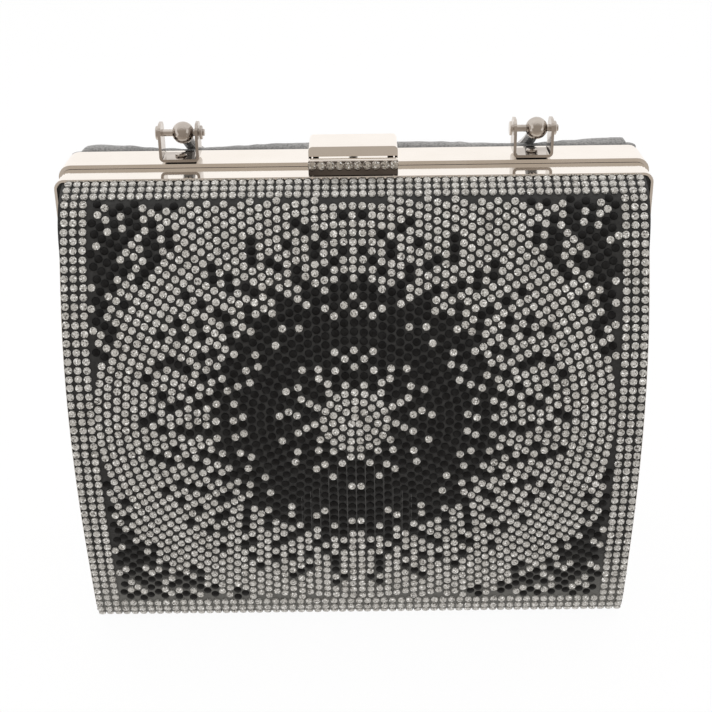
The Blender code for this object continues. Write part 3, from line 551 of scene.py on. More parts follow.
@dataclass(frozen=True)
class Finish:
    """What every finish has: a name, and a material that is made once."""

    name: str

    def paint(self, surface: Surface) -> None:
        """Lays the finish on a surface."""
        raise NotImplementedError

    @cached_property
    def material(self) -> bpy.types.Material:
        """Makes the material.

        Returns:
            The finish's material.
        """
        surface = Surface(self.name)
        self.paint(surface)
        return surface.material


@dataclass(frozen=True)
class Plating(Finish):
    """Plated metal with soft waves, fine scratches and a patchy polish."""

    light: Triple
    dark: Triple
    polish: Pair
    scratch: float
    patch_scale: float = 70.0
    patch_levels: Pair = (0.35, 0.7)
    grain_scale: float = 900.0
    grain_levels: Pair = (0.3, 0.7)
    wave_scale: float = 28.0
    scratch_scale: Triple = (120.0, 4000.0, 4000.0)

    def colour(self, surface: Surface) -> bpy.types.NodeSocket:
        """Light and dark patches of the plating, mixed into one colour."""
        patches = surface.rise(surface.noise(self.patch_scale, detail=4.0), *self.patch_levels)
        return surface.mix(patches, self.light, self.dark)

    def paint(self, surface: Surface) -> None:
        """Lays the plating on a surface.

        Args:
            surface: The surface of the finish's material.
        """
        smooth, rough = self.polish
        grain = surface.rise(surface.noise(self.grain_scale, detail=5.0), *self.grain_levels)
        roughness = smooth + (rough - smooth) * grain
        colour = self.colour(surface)
        surface.dress({"Metallic": 1.0, "Base Color": colour, "Roughness": roughness})
        surface.relief(surface.noise(self.wave_scale, detail=2.0), strength=0.25, depth=0.0004)
        surface.relief(surface.streaks(self.scratch_scale, detail=6.0), self.scratch, 0.00003)


@dataclass(frozen=True)
class SmokedPlating(Plating):
    """Smoked plating where the clasp's stones sit, bright on the lugs above them."""

    bright: Triple = (0.95, 0.92, 0.88)
    lug_height: float = 0.1547
    lug_fade: float = 0.0001

    def colour(self, surface: Surface) -> bpy.types.NodeSocket:
        """The smoked plating, with the bright lugs over it.

        Args:
            surface: The surface of the finish's material.

        Returns:
            The colour.
        """
        height = surface.axes(surface.place)[2]
        lugs = surface.rise(height, self.lug_height, self.lug_height + self.lug_fade)
        return surface.mix(lugs, super().colour(surface), self.bright)


@dataclass(frozen=True)
class TurnedSteel(Finish):
    """Turned steel with lines round it."""

    light: Triple = (0.66, 0.65, 0.63)
    dark: Triple = (0.46, 0.45, 0.44)
    line_scale: Triple = (5000.0, 200.0, 200.0)

    def paint(self, surface: Surface) -> None:
        """Lays the finish on a surface.

        Args:
            surface: The surface of the finish's material.
        """
        lines = surface.streaks(self.line_scale, detail=4.0)
        surface.dress({"Metallic": 0.8, "Anisotropic": 0.4, "Roughness": 0.22 + 0.16 * lines})
        surface.dress({"Base Color": surface.mix(lines, self.light, self.dark)})
        surface.relief(lines, strength=0.3, depth=0.00002)


@dataclass(frozen=True)
class FoiledGlass(Finish):
    """Foil-backed glass: grey, with dark dots and bright glints painted in as reflections of
    facets under the table.
    """

    pale: Triple
    deep: Triple
    # Painted reflection: colour of the dark dots that stand in for dark facets.
    painted_dark_facet: Triple
    # Painted highlight: colour of the bright glints that stand in for lit facets.
    painted_glint: Triple = (0.95, 0.94, 0.92)
    tint_scale: float = 140.0
    tint_levels: Pair = (0.35, 0.65)
    painted_dark_facet_scale: float = 2100.0
    painted_dark_facet_levels: Pair = (0.37, 0.485)
    painted_glint_scale: float = 1900.0
    painted_glint_levels: Pair = (0.575, 0.655)
    painted_glint_stretch: Triple = (1.0, 1.3, 0.8)
    facet_scale: float = 1500.0

    def paint(self, surface: Surface) -> None:
        """Lays the glass on a surface.

        Args:
            surface: The surface of the finish's material.
        """
        tint = surface.rise(surface.noise(self.tint_scale, detail=2.0), *self.tint_levels)
        # Painted reflection: dark dots stand in for dark facets seen under the table.
        grain = surface.noise(self.painted_dark_facet_scale, detail=4.0)
        painted_dark_facets = 1.0 - surface.rise(grain, *self.painted_dark_facet_levels)
        # Painted highlight: bright glints stand in for lit facets seen under the table.
        uneven = surface.stretched(self.painted_glint_stretch)
        glint_noise = surface.noise(self.painted_glint_scale, detail=4.0, place=uneven)
        painted_glints = surface.rise(glint_noise, *self.painted_glint_levels)
        body = surface.mix(tint, self.pale, self.deep)
        speckled = surface.mix(painted_dark_facets, body, self.painted_dark_facet)
        roughness = 0.18 + 0.27 * surface.noise(self.facet_scale, detail=2.0)
        surface.dress({"Metallic": 0.12, "IOR": 1.5, "Roughness": roughness})
        surface.dress({"Coat Weight": 0.22, "Coat Roughness": 0.10, "Coat IOR": 1.5})
        surface.dress({"Base Color": surface.mix(painted_glints, speckled, self.painted_glint)})
        surface.relief(surface.cells(self.facet_scale), strength=0.45, depth=0.0002)


@dataclass(frozen=True)
class JetGlass(Finish):
    """Jet glass with a soft sheen and a little dust."""

    jet: Triple = (0.002, 0.002, 0.0023)
    dust: Triple = (0.010, 0.010, 0.010)
    dust_scale: float = 420.0
    dust_levels: Pair = (0.40, 0.75)
    sheen_scale: float = 1600.0
    wave_scale: float = 900.0

    def paint(self, surface: Surface) -> None:
        """Lays the glass on a surface.

        Args:
            surface: The surface of the finish's material.
        """
        dusty = surface.rise(surface.noise(self.dust_scale, detail=6.0), *self.dust_levels)
        roughness = 0.30 + 0.25 * surface.noise(self.sheen_scale)
        surface.dress({"Specular IOR Level": 0.2, "Roughness": roughness})
        surface.dress({"Base Color": surface.mix(dusty, self.jet, self.dust)})
        surface.relief(surface.noise(self.wave_scale, detail=2.0), strength=0.35, depth=0.00015)


@dataclass(frozen=True)
class NetCloth(Finish):
    """The dark net that the stones are set in, with painted light: paler low down, where it is
    seen at a grazing angle.
    """

    dark: Triple = (0.008, 0.008, 0.0082)
    light: Triple = (0.031, 0.031, 0.0305)
    # Painted light: the paler colour low down and the heights where it fades in.
    painted_low_light: Triple = (0.125, 0.122, 0.113)
    painted_low_light_top: float = 0.030
    painted_low_light_base: float = 0.004
    thread_scale: float = 700.0
    gloss_scale: float = 250.0
    mesh_scale: float = 1100.0

    def paint(self, surface: Surface) -> None:
        """Lays the net's look on a surface.

        Args:
            surface: The surface of the finish's material.
        """
        net = surface.mix(surface.noise(self.thread_scale, detail=5.0), self.dark, self.light)
        # Painted light: the net is made paler towards the bottom, where it is seen at a grazing
        # angle.
        low = surface.rise(surface.axes(surface.place)[2], self.painted_low_light_top, self.painted_low_light_base)
        roughness = 0.34 + 0.21 * surface.noise(self.gloss_scale)
        surface.dress({"Sheen Weight": 0.05, "Specular IOR Level": 0.3, "Roughness": roughness})
        surface.dress({"Base Color": surface.mix(low, net, self.painted_low_light)})
        surface.relief(surface.cells(self.mesh_scale), strength=0.6, depth=0.0002)


@dataclass(frozen=True)
class ThreadPlastic(Finish):
    """Grey plastic thread of the net."""

    dark: Triple = (0.04, 0.04, 0.041)
    light: Triple = (0.13, 0.127, 0.123)
    tone_scale: float = 380.0
    gloss_scale: float = 900.0
    fibre_scale: float = 2500.0

    def paint(self, surface: Surface) -> None:
        """Lays the thread's look on a surface.

        Args:
            surface: The surface of the finish's material.
        """
        roughness = 0.35 + 0.25 * surface.noise(self.gloss_scale)
        tone = surface.noise(self.tone_scale, detail=4.0)
        surface.dress({"Specular IOR Level": 0.3, "Roughness": roughness})
        surface.dress({"Base Color": surface.mix(tone, self.dark, self.light)})
        surface.relief(surface.noise(self.fibre_scale), strength=0.3, depth=0.00003)


@dataclass(frozen=True)
class Velvet(Finish):
    """Short grey pile that lies lighter and darker in patches, with dark gaps between tufts."""

    dark: Triple = (0.27, 0.266, 0.263)
    light: Triple = (0.42, 0.414, 0.41)
    gap: Triple = (0.07, 0.07, 0.072)
    sheen: Triple = (0.78, 0.78, 0.79)
    lay_scale: float = 38.0
    lay_levels: Pair = (0.3, 0.7)
    tuft_scale: float = 1700.0
    tuft_levels: Pair = (0.36, 0.60)
    gap_share: float = 0.55
    gloss_scale: float = 260.0
    pile_scale: float = 3200.0
    crush_scale: float = 120.0

    def paint(self, surface: Surface) -> None:
        """Lays the pile's look on a surface.

        Args:
            surface: The surface of the finish's material.
        """
        lay = surface.rise(surface.noise(self.lay_scale, detail=5.0), *self.lay_levels)
        tufts = surface.rise(surface.noise(self.tuft_scale, detail=4.0), *self.tuft_levels)
        gaps = self.gap_share * (1.0 - tufts)
        laid = surface.mix(lay, self.dark, self.light)
        roughness = 0.82 + 0.16 * surface.noise(self.gloss_scale)
        surface.dress({"Sheen Weight": 0.8, "Sheen Roughness": 0.35, "Sheen Tint": self.sheen})
        surface.dress({"Specular IOR Level": 0.1, "Roughness": roughness})
        surface.dress({"Base Color": surface.mix(gaps, laid, self.gap)})
        surface.relief(surface.noise(self.pile_scale, detail=4.0), strength=0.6, depth=0.0003)
        surface.relief(surface.noise(self.crush_scale), strength=0.25, depth=0.0004)


@dataclass(frozen=True)
class Satin(Finish):
    """Black satin with a fine diagonal weave."""

    dark: Triple = (0.012, 0.012, 0.014)
    light: Triple = (0.036, 0.035, 0.038)
    weave_scale: Triple = (5200.0, 900.0, 2600.0)
    gloss_scale: float = 90.0

    def paint(self, surface: Surface) -> None:
        """Lays the satin's look on a surface.

        Args:
            surface: The surface of the finish's material.
        """
        weave = surface.streaks(self.weave_scale, detail=2.0)
        roughness = 0.32 + 0.16 * surface.noise(self.gloss_scale)
        surface.dress({"Sheen Weight": 0.25, "Sheen Roughness": 0.3, "Anisotropic": 0.5})
        surface.dress({"Specular IOR Level": 0.45, "Roughness": roughness})
        surface.dress({"Base Color": surface.mix(weave, self.dark, self.light)})
        surface.relief(weave, strength=0.35, depth=0.00006)


@dataclass(frozen=True)
class Lacquer(Finish):
    """Glossy black lacquer with orange peel and rubbed places."""

    black: Triple = (0.013, 0.012, 0.012)
    rubbed: Triple = (0.05, 0.046, 0.043)
    wear_scale: float = 160.0
    worn_levels: Pair = (0.55, 0.8)
    peel_scale: float = 600.0

    def paint(self, surface: Surface) -> None:
        """Lays the lacquer on a surface.

        Args:
            surface: The surface of the finish's material.
        """
        wear = surface.noise(self.wear_scale, detail=4.0)
        worn = surface.rise(wear, *self.worn_levels)
        surface.dress({"Coat Weight": 0.8, "Coat Roughness": 0.06})
        surface.dress({"Roughness": 0.16 + 0.18 * wear})
        surface.dress({"Base Color": surface.mix(worn, self.black, self.rubbed)})
        surface.relief(surface.noise(self.peel_scale, detail=2.0), strength=0.15, depth=0.0001)


@dataclass(frozen=True)
class PlatedMoulding(Finish):
    """Metallised moulding, a little warm where the plating is thin."""

    silver: Triple = (0.70, 0.69, 0.67)
    warm: Triple = (0.62, 0.55, 0.42)
    wear_scale: float = 45.0
    worn_levels: Pair = (0.4, 0.7)
    gloss_scale: float = 500.0
    mould_scale: float = 300.0

    def paint(self, surface: Surface) -> None:
        """Lays the finish on a surface.

        Args:
            surface: The surface of the finish's material.
        """
        worn = surface.rise(surface.noise(self.wear_scale, detail=5.0), *self.worn_levels)
        roughness = 0.22 + 0.20 * surface.noise(self.gloss_scale, detail=4.0)
        surface.dress({"Metallic": 0.85, "Roughness": roughness})
        surface.dress({"Base Color": surface.mix(worn, self.silver, self.warm)})
        surface.relief(surface.noise(self.mould_scale), strength=0.2, depth=0.0001)


@dataclass(frozen=True)
class FloorVeil(Finish):
    """A pale floor thin enough to keep a faint shadow and to show what hangs below it."""

    white: Triple = (0.97, 0.965, 0.955)
    grey: Triple = (0.94, 0.935, 0.925)
    tone_scale: float = 3.0
    veil: float = 0.045

    def paint(self, surface: Surface) -> None:
        """Lays the veil on a surface.

        Args:
            surface: The surface of the finish's material.
        """
        tone = surface.mix(surface.noise(self.tone_scale), self.white, self.grey)
        surface.dress({"Base Color": tone, "Roughness": 0.75, "Specular IOR Level": 0.0})
        clear = surface.node("ShaderNodeBsdfTransparent").outputs[0]
        feeds = {"Fac": self.veil, 1: clear, 2: surface.shader.outputs[0]}
        thin = surface.node("ShaderNodeMixShader", None, feeds).outputs[0]
        surface.feed(surface.tree.nodes["Material Output"].inputs["Surface"], thin)


@dataclass(frozen=True)
class Palette:
    """Every finish of the clutch, by what it covers."""

    nickel: Finish = Plating(
        "polished_nickel", (0.975, 0.945, 0.905), (0.94, 0.905, 0.855), (0.04, 0.10), 0.03
    )
    aged: Finish = Plating(
        "aged_nickel", (0.66, 0.62, 0.58), (0.40, 0.365, 0.335), (0.05, 0.13), 0.05
    )
    smoked: Finish = SmokedPlating(
        "smoked_nickel", (0.16, 0.142, 0.128), (0.095, 0.084, 0.075), (0.10, 0.22), 0.06
    )
    steel: Finish = TurnedSteel("turned_steel")
    moulding: Finish = PlatedMoulding("plated_shell")
    # In the glass finishes the third colour is the painted reflection of dark facets.
    clear: Finish = FoiledGlass(
        "foiled_glass", (0.458, 0.445, 0.420), (0.385, 0.370, 0.343), (0.048, 0.044, 0.040)
    )
    smoky: Finish = FoiledGlass(
        "smoky_glass", (0.36, 0.32, 0.27), (0.24, 0.205, 0.165), (0.05, 0.042, 0.034)
    )
    jet: Finish = JetGlass("jet_glass")
    net: Finish = NetCloth("stone_net")
    thread: Finish = ThreadPlastic("net_thread")
    velvet: Finish = Velvet("grey_velvet")
    satin: Finish = Satin("black_satin")
    lacquer: Finish = Lacquer("black_lacquer")
    floor: Finish = FloorVeil("pale_floor")


# --------------------------------------------------------------------------- the case


class SideCurve:
    """A smooth side view with its arc length."""

    steps = 16
    reach = 0.0008

    def __init__(self, points: Sequence[Pair]) -> None:
        """Smooths the points and measures along them.

        Args:
            points: (out, height) of the side view, from the top down.
        """
        self.points = np.array(self.smoothed(points))
        lengths = np.hypot(*np.diff(self.points, axis=0).T)
        self.at = np.concatenate([[0.0], np.cumsum(lengths)])
        self.length = float(self.at[-1])

    @classmethod
    def smoothed(cls, points: Sequence[Pair]) -> list[Pair]:
        """Smooth, dense points through the corners of a polyline.

        Args:
            points: The corners of the polyline.

        Returns:
            The dense points.
        """
        padded = [points[0], *points, points[-1]]
        dense = []
        for around in zip(padded, padded[1:], padded[2:], padded[3:]):
            for step in range(cls.steps):
                t = step / cls.steps
                dense.append(
                    tuple(
                        0.5
                        * (
                            2 * b
                            + (c - a) * t
                            + (2 * a - 5 * b + 4 * c - d) * t**2
                            + (3 * b - a - 3 * c + d) * t**3
                        )
                        for a, b, c, d in zip(*around)
                    )
                )
        dense.append(points[-1])
        return dense

    def place(self, s: np.ndarray | float) -> np.ndarray:
        """Places, (out, height), at distances along the curve."""
        s = np.clip(s, 0.0, self.length)
        return np.stack([np.interp(s, self.at, self.points[:, k]) for k in (0, 1)], axis=-1)

    def outward(self, s: np.ndarray | float) -> np.ndarray:
        """Unit outward ways at distances along the curve.

        Args:
            s: Distances from the top.

        Returns:
            (out, height) of each way.
        """
        run = self.place(s + self.reach) - self.place(s - self.reach)
        run /= np.linalg.norm(run, axis=-1, keepdims=True)
        return np.stack([-run[..., 1], run[..., 0]], axis=-1)


@dataclass(frozen=True)
class CaseShape:
    """Where the solids of the two halves stand, with the side view that both share."""

    seam_y: float = -0.014348
    front_depth: float = 0.0108
    rear_depth: float = 0.0152
    rear_rise: float = 0.0013
    rear_spread: float = 0.0008
    shell_base: float = 0.0011
    shell_top: float = 0.1489
    shell_half: float = 0.0894
    shell_bulge: float = 0.030
    panel_thickness: float = 0.0008
    gap: float = 0.0003
    # Share of the bulge, share of the height, from the top down
    side_shares: tuple[Pair, ...] = (
        (0.0, 1.0),
        (0.12, 0.991),
        (0.267, 0.975),
        (0.36, 0.951),
        (0.463, 0.917),
        (0.553, 0.880),
        (0.677, 0.820),
        (0.76, 0.776),
        (0.853, 0.717),
        (0.92, 0.655),
        (0.98, 0.566),
        (1.0, 0.449),
        (0.965, 0.317),
        (0.875, 0.172),
        (0.785, 0.057),
        (0.735, 0.024),
        (0.655, 0.0055),
        (0.55, 0.0),
    )

    def side_curve(self, rise: float) -> SideCurve:
        """The side view of a shell.

        Args:
            rise: How much taller it is than the front one.

        Returns:
            The curve.
        """
        tall = self.shell_top + rise - self.shell_base
        shares = self.side_shares
        return SideCurve(
            [(out * self.shell_bulge, self.shell_base + up * tall) for out, up in shares]
        )

    @cached_property
    def front_curve(self) -> SideCurve:
        """The front shell's side view."""
        return self.side_curve(0.0)

    @cached_property
    def rear_curve(self) -> SideCurve:
        """The rear shell's side view."""
        return self.side_curve(self.rear_rise)

    @property
    def front_face(self) -> float:
        """Y of the front frame's face."""
        return self.seam_y - self.front_depth

    @property
    def rear_face(self) -> float:
        """Y of the rear frame's face."""
        return self.seam_y + self.rear_depth

    def on_front(self, x: np.ndarray, s: np.ndarray, lift: float) -> Grids:
        """Places on the stone front.

        Args:
            x: Places across.
            s: Distances along the surface from its top edge.
            lift: Height off the surface.

        Returns:
            World places, and the outward way at each.
        """
        way = self.front_curve.outward(s)
        spot = self.front_curve.place(s) + way * lift
        places = np.stack([x, self.front_face - spot[..., 0], spot[..., 1]], axis=-1)
        ways = np.stack([np.zeros_like(x), -way[..., 0], way[..., 1]], axis=-1)
        return places, ways


# --------------------------------------------------------------------------- stones


@dataclass(frozen=True)
class BrilliantCut:
    """A small flat-backed brilliant, in units of its radius: girdle, facets and a table."""

    sides: int = 10
    # Radius, height, turn in half steps
    rings: tuple[Triple, ...] = (
        (0.95, -0.42, 0.0),
        (1.0, 0.04, 0.0),
        (0.90, 0.20, 1.0),
        (0.70, 0.28, 0.0),
    )

    def unit(self, name: str) -> bpy.types.Object:
        """Makes one stone of radius 1, named as given."""
        return new_object(name, *lathe_facets(self.rings, self.sides), Shading.FLAT)


@dataclass(frozen=True)
class DomeCut:
    """A low rounded stone, in units of its radius."""

    sides: int = 9
    spread: float = 1.1
    rise: float = 0.5
    sink: float = 0.08
    slopes: tuple[float, ...] = (-18.0, 8.0, 34.0, 58.0, 78.0)

    def unit(self, name: str) -> bpy.types.Object:
        """Makes one stone of radius 1.

        Args:
            name: The stone's name.

        Returns:
            The stone.
        """
        angles = [math.radians(slope) for slope in self.slopes]
        rings = [
            (self.spread * math.cos(angle), self.rise * math.sin(angle) - self.sink, 0.0)
            for angle in angles
        ]
        return new_object(name, *lathe_facets(rings, self.sides), Shading.SMOOTH)


@dataclass(frozen=True)
class ClawCup:
    """A thin metal cup round a stone, with four claws bent over its edge."""

    radius: float = 0.00139
    sides: int = 16
    claw_every: int = 4
    depth: float = 0.0004
    rim: float = 0.00012
    lip: float = 0.00016
    claw_height: float = 0.00030
    claw_lean: float = 0.00022
    claw_shoulder: float = 0.6
    claw_wall: float = 0.00010
    wall: float = 0.00012

    def section(self, clawed: bool) -> list[Pair]:
        """The cup's wall where it has a claw or none.

        Args:
            clawed: Whether a claw stands there.

        Returns:
            (radius, height) round the wall, from the outer base up.
        """
        claw = self.claw_height if clawed else 0.0
        edge = self.radius - (self.claw_lean if clawed else 0.0)
        return [
            (self.radius, -self.depth),
            (self.radius, self.rim + claw * self.claw_shoulder),
            (edge, self.lip + claw),
            (edge - self.claw_wall, self.rim + claw),
            (self.radius - self.wall, -self.depth),
        ]

    def unit(self, name: str) -> bpy.types.Object:
        """Makes one cup, scaled to radius 1.

        Args:
            name: The cup's name.

        Returns:
            The cup.
        """
        vertices, faces = [], []
        for step in range(self.sides):
            angle = math.tau * step / self.sides
            section = self.section(step % self.claw_every == 0)
            across = (math.cos(angle) / self.radius, math.sin(angle) / self.radius)
            vertices += [(r * across[0], r * across[1], z / self.radius) for r, z in section]
        count = len(vertices) // self.sides
        for step in range(self.sides):
            here, after = step * count, (step + 1) % self.sides * count
            for low in range(count):
                high = (low + 1) % count
                faces.append((here + low, after + low, after + high, here + high))
        return new_object(name, vertices, faces, Shading.FLAT)


class StoneCut(Enum):
    """The shapes that are set in rows."""

    BRILLIANT = BrilliantCut()
    DOME = DomeCut()
    CUP = ClawCup()


@dataclass(frozen=True)
class Scatter:
    """How far the stones of a set stand off the net and wander from their places."""

    lift: float
    wander: float
    seed: int
    tilt: float = 0.035


@dataclass(frozen=True)
class Seats:
    """Where stones sit, which way each faces and how far each is turned."""

    places: np.ndarray
    ways: np.ndarray
    spins: np.ndarray

    def turns(self) -> np.ndarray:
        """How each stone is turned.

        Returns:
            Angles about X, Y and Z that carry a stone's +Z to its way, after its own spin.
        """
        result = []
        for way, spin in zip(self.ways, self.spins):
            tilt = Matrix.Rotation(math.atan2(-way[1], way[2]), 3, "X")
            result.append(tuple((tilt @ Matrix.Rotation(float(spin), 3, "Z")).to_euler()))
        return np.array(result)

    def cloud(self, name: str) -> bpy.types.Object:
        """Makes an object with one point in each seat.

        Args:
            name: The object's name.

        Returns:
            The object, with the stones' turns as an attribute.
        """
        cloud = new_object(name, self.places, [], Shading.FLAT)
        turn = cloud.data.attributes.new("turn", "FLOAT_VECTOR", "POINT")
        turn.data.foreach_set("vector", self.turns().astype(np.float32).ravel())
        return cloud


def setting_tree() -> ShapeTree:
    """Builds the tree that sets a stone on each point.

    Returns:
        The tree, with inputs for the stone, its radius and its material.
    """
    inputs = {
        "Stone": "NodeSocketObject",
        "Radius": "NodeSocketFloat",
        "Material": "NodeSocketMaterial",
    }
    tree = ShapeTree("stones_on_points", inputs)
    stone = tree.node("GeometryNodeObjectInfo", None, {"Object": tree.given["Stone"]})
    turn = tree.node(
        "GeometryNodeInputNamedAttribute", {"data_type": "FLOAT_VECTOR"}, {"Name": "turn"}
    )
    seats = tree.node("GeometryNodeMeshToPoints", None, {"Mesh": tree.given["Geometry"]})
    feeds = {
        "Points": seats.outputs[0],
        "Instance": stone.outputs["Geometry"],
        "Rotation": turn.outputs["Attribute"],
        "Scale": tree.given["Radius"],
    }
    tree.close(tree.node("GeometryNodeInstanceOnPoints", None, feeds).outputs[0])
    return tree


def set_stones(
    name: str, seats: Seats, cut: StoneCut, radius: float, finish: Finish
) -> bpy.types.Object:
    """Makes one piece of every stone of a set.

    Args:
        name: Name of the piece.
        seats: Where the stones sit.
        cut: Their shape.
        radius: Their radius.
        finish: Their finish.

    Returns:
        The piece.
    """
    stone = cut.value.unit(f"{name}_one")
    values = {"Stone": stone, "Radius": radius, "Material": finish.material}
    piece = setting_tree().run(name, seats.cloud(f"{name}_points"), values)
    bpy.data.objects.remove(stone, do_unlink=True)
    return piece


# --------------------------------------------------------------------------- the pattern


@dataclass(frozen=True)
class Medallion:
    """The round pattern: rings of stones, six more in each, and which of them are clear."""

    centre: Pair = (-0.00033, 0.07795)
    pitch: float = 0.002785
    phase: float = 0.483
    squash: float = 1.0215
    rings: int = 42
    half: float = 0.0798
    top: float = 0.0092
    base: float = 0.1481
    last_full_ring: int = 4
    first_corner_ring: int = 29
    dark_rings: tuple[int, ...] = (10, 11, 12)
    # Share of jet stones in each ring of the speckled band, and where its first one falls
    first_speckled_ring: int = 17
    speckled_rings: tuple[Pair, ...] = (
        (0.29, 0.45),
        (0.33, 0.0),
        (0.22, 0.55),
        (0.27, 0.65),
        (0.20, 0.0),
        (0.27, 0.0),
        (0.18, 0.0),
        (0.21, 0.6),
    )
    # Share of jet stones in each ring that only the corners have
    corner_shares: tuple[float, ...] = (0.20, 0.36, 0.50, 0.60, 0.66, 0.72)
    # Clear stones of the open rings by their count from the top, the same on both sides
    star_rings: tuple[tuple[int, tuple[int, ...]], ...] = (
        (5, tuple(range(1, 15, 2))),
        (6, tuple(range(3, 17, 3))),
        (7, (0, 2, 4, 7, 9, 11, 16)),
        (8, (1, 4, 7, 10, 15, 18, 20)),
        (9, (0, 2, 6, 9, 12, 15, 18, 25)),
        (13, (0, 2, 6, 9, 12, 14, 18, 20, 23, 26, 34)),
        (14, (1, 3, 8, *range(12, 27, 2), 30, 33, 36, 40)),
        (15, (0, 5, 18, 30, 36, 41)),
        (16, (*range(3, 22, 3), *range(23, 34, 2), 36, 40, 42, 46)),
    )

    @cached_property
    def stars(self) -> dict[int, tuple[int, ...]]:
        """The clear stones of the open rings, by ring."""
        return dict(self.star_rings)

    def is_clear(self, ring: int, index: int) -> bool:
        """Says whether a stone is clear.

        Args:
            ring: Its ring, counted from the middle.
            index: Its count from the top of the ring, to the nearer side.

        Returns:
            Whether it is clear.
        """
        speckled = ring - self.first_speckled_ring
        if ring <= self.last_full_ring:
            return True
        if ring in self.dark_rings:
            return False
        if ring in self.stars:
            return index in self.stars[ring]
        if 0 <= speckled < len(self.speckled_rings):
            share, start = self.speckled_rings[speckled]
            before = math.floor(index * share + start)
            return math.floor((index + 1) * share + start) == before
        if ring < self.first_corner_ring:
            return True
        corner = min(ring - self.first_corner_ring, len(self.corner_shares) - 1)
        return float(np.random.default_rng((ring, index)).random()) > self.corner_shares[corner]

    def spots(self) -> Grids:
        """Places of the stones inside the border.

        Returns:
            (x, s) of the clear stones and of the jet ones.
        """
        clear, jet = [], []
        for ring in range(1, self.rings):
            count = 6 * ring - 3
            radius = self.pitch * (ring - self.phase)
            for step in range(count):
                angle = math.tau * step / count
                x = self.centre[0] + radius * math.sin(angle)
                s = self.centre[1] - radius * math.cos(angle) / self.squash
                if abs(x) <= self.half and self.top < s < self.base:
                    index = min(step, count - step)
                    (clear if self.is_clear(ring, index) else jet).append((x, s))
        return np.array(clear), np.array(jet)


@dataclass(frozen=True)
class Border:
    """The straight rows and columns of stones round the panel."""

    columns: int = 63
    column_pitch: float = 0.002831
    rows: int = 56
    row_pitch: float = 0.002808
    top: float = 0.0013
    deep: int = 3

    def spots(self) -> np.ndarray:
        """Places of the border's stones.

        Returns:
            (x, s) of each.
        """
        spots = []
        for row in range(self.rows):
            for column in range(self.columns):
                from_row = min(row, self.rows - 1 - row)
                from_column = min(column, self.columns - 1 - column)
                if min(from_row, from_column) < self.deep:
                    x = (column - (self.columns - 1) / 2) * self.column_pitch
                    spots.append((x, self.top + row * self.row_pitch))
        return np.array(spots)


# --------------------------------------------------------------------------- sub-assemblies


@dataclass(frozen=True)
class BrokenEdges:
    """The fine rounding of a metal piece's edges."""

    width: float = 0.00012
    segments: int = 2
    least_angle: float = math.radians(40.0)

    def add(self, piece: bpy.types.Object) -> None:
        """Rounds the edges of a piece.

        Args:
            piece: The piece.
        """
        bevel = piece.modifiers.new("broken_edges", "BEVEL")
        bevel.width = self.width
        bevel.segments = self.segments
        bevel.limit_method = "ANGLE"
        bevel.angle_limit = self.least_angle
        bevel.harden_normals = True


@dataclass(frozen=True)
class Assembly:
    """What each sub-assembly is built with."""

    nodes: Mapping[str, bpy.types.Object]
    palette: Palette
    case: CaseShape

    def build(self) -> list[bpy.types.Object]:
        """Builds and dresses the pieces, and puts them on their bodies."""
        raise NotImplementedError

    def coated(
        self, finish: Finish, names: Sequence[str], edges: BrokenEdges | None = None
    ) -> list[bpy.types.Object]:
        """Gives CAD nodes that stay their finish.

        Args:
            finish: Their finish.
            names: The nodes.
            edges: The rounding of their edges, if they get one.

        Returns:
            The nodes' objects.
        """
        pieces = [self.nodes[name] for name in names]
        for piece in pieces:
            coat(piece, finish)
            if edges:
                edges.add(piece)
        return pieces


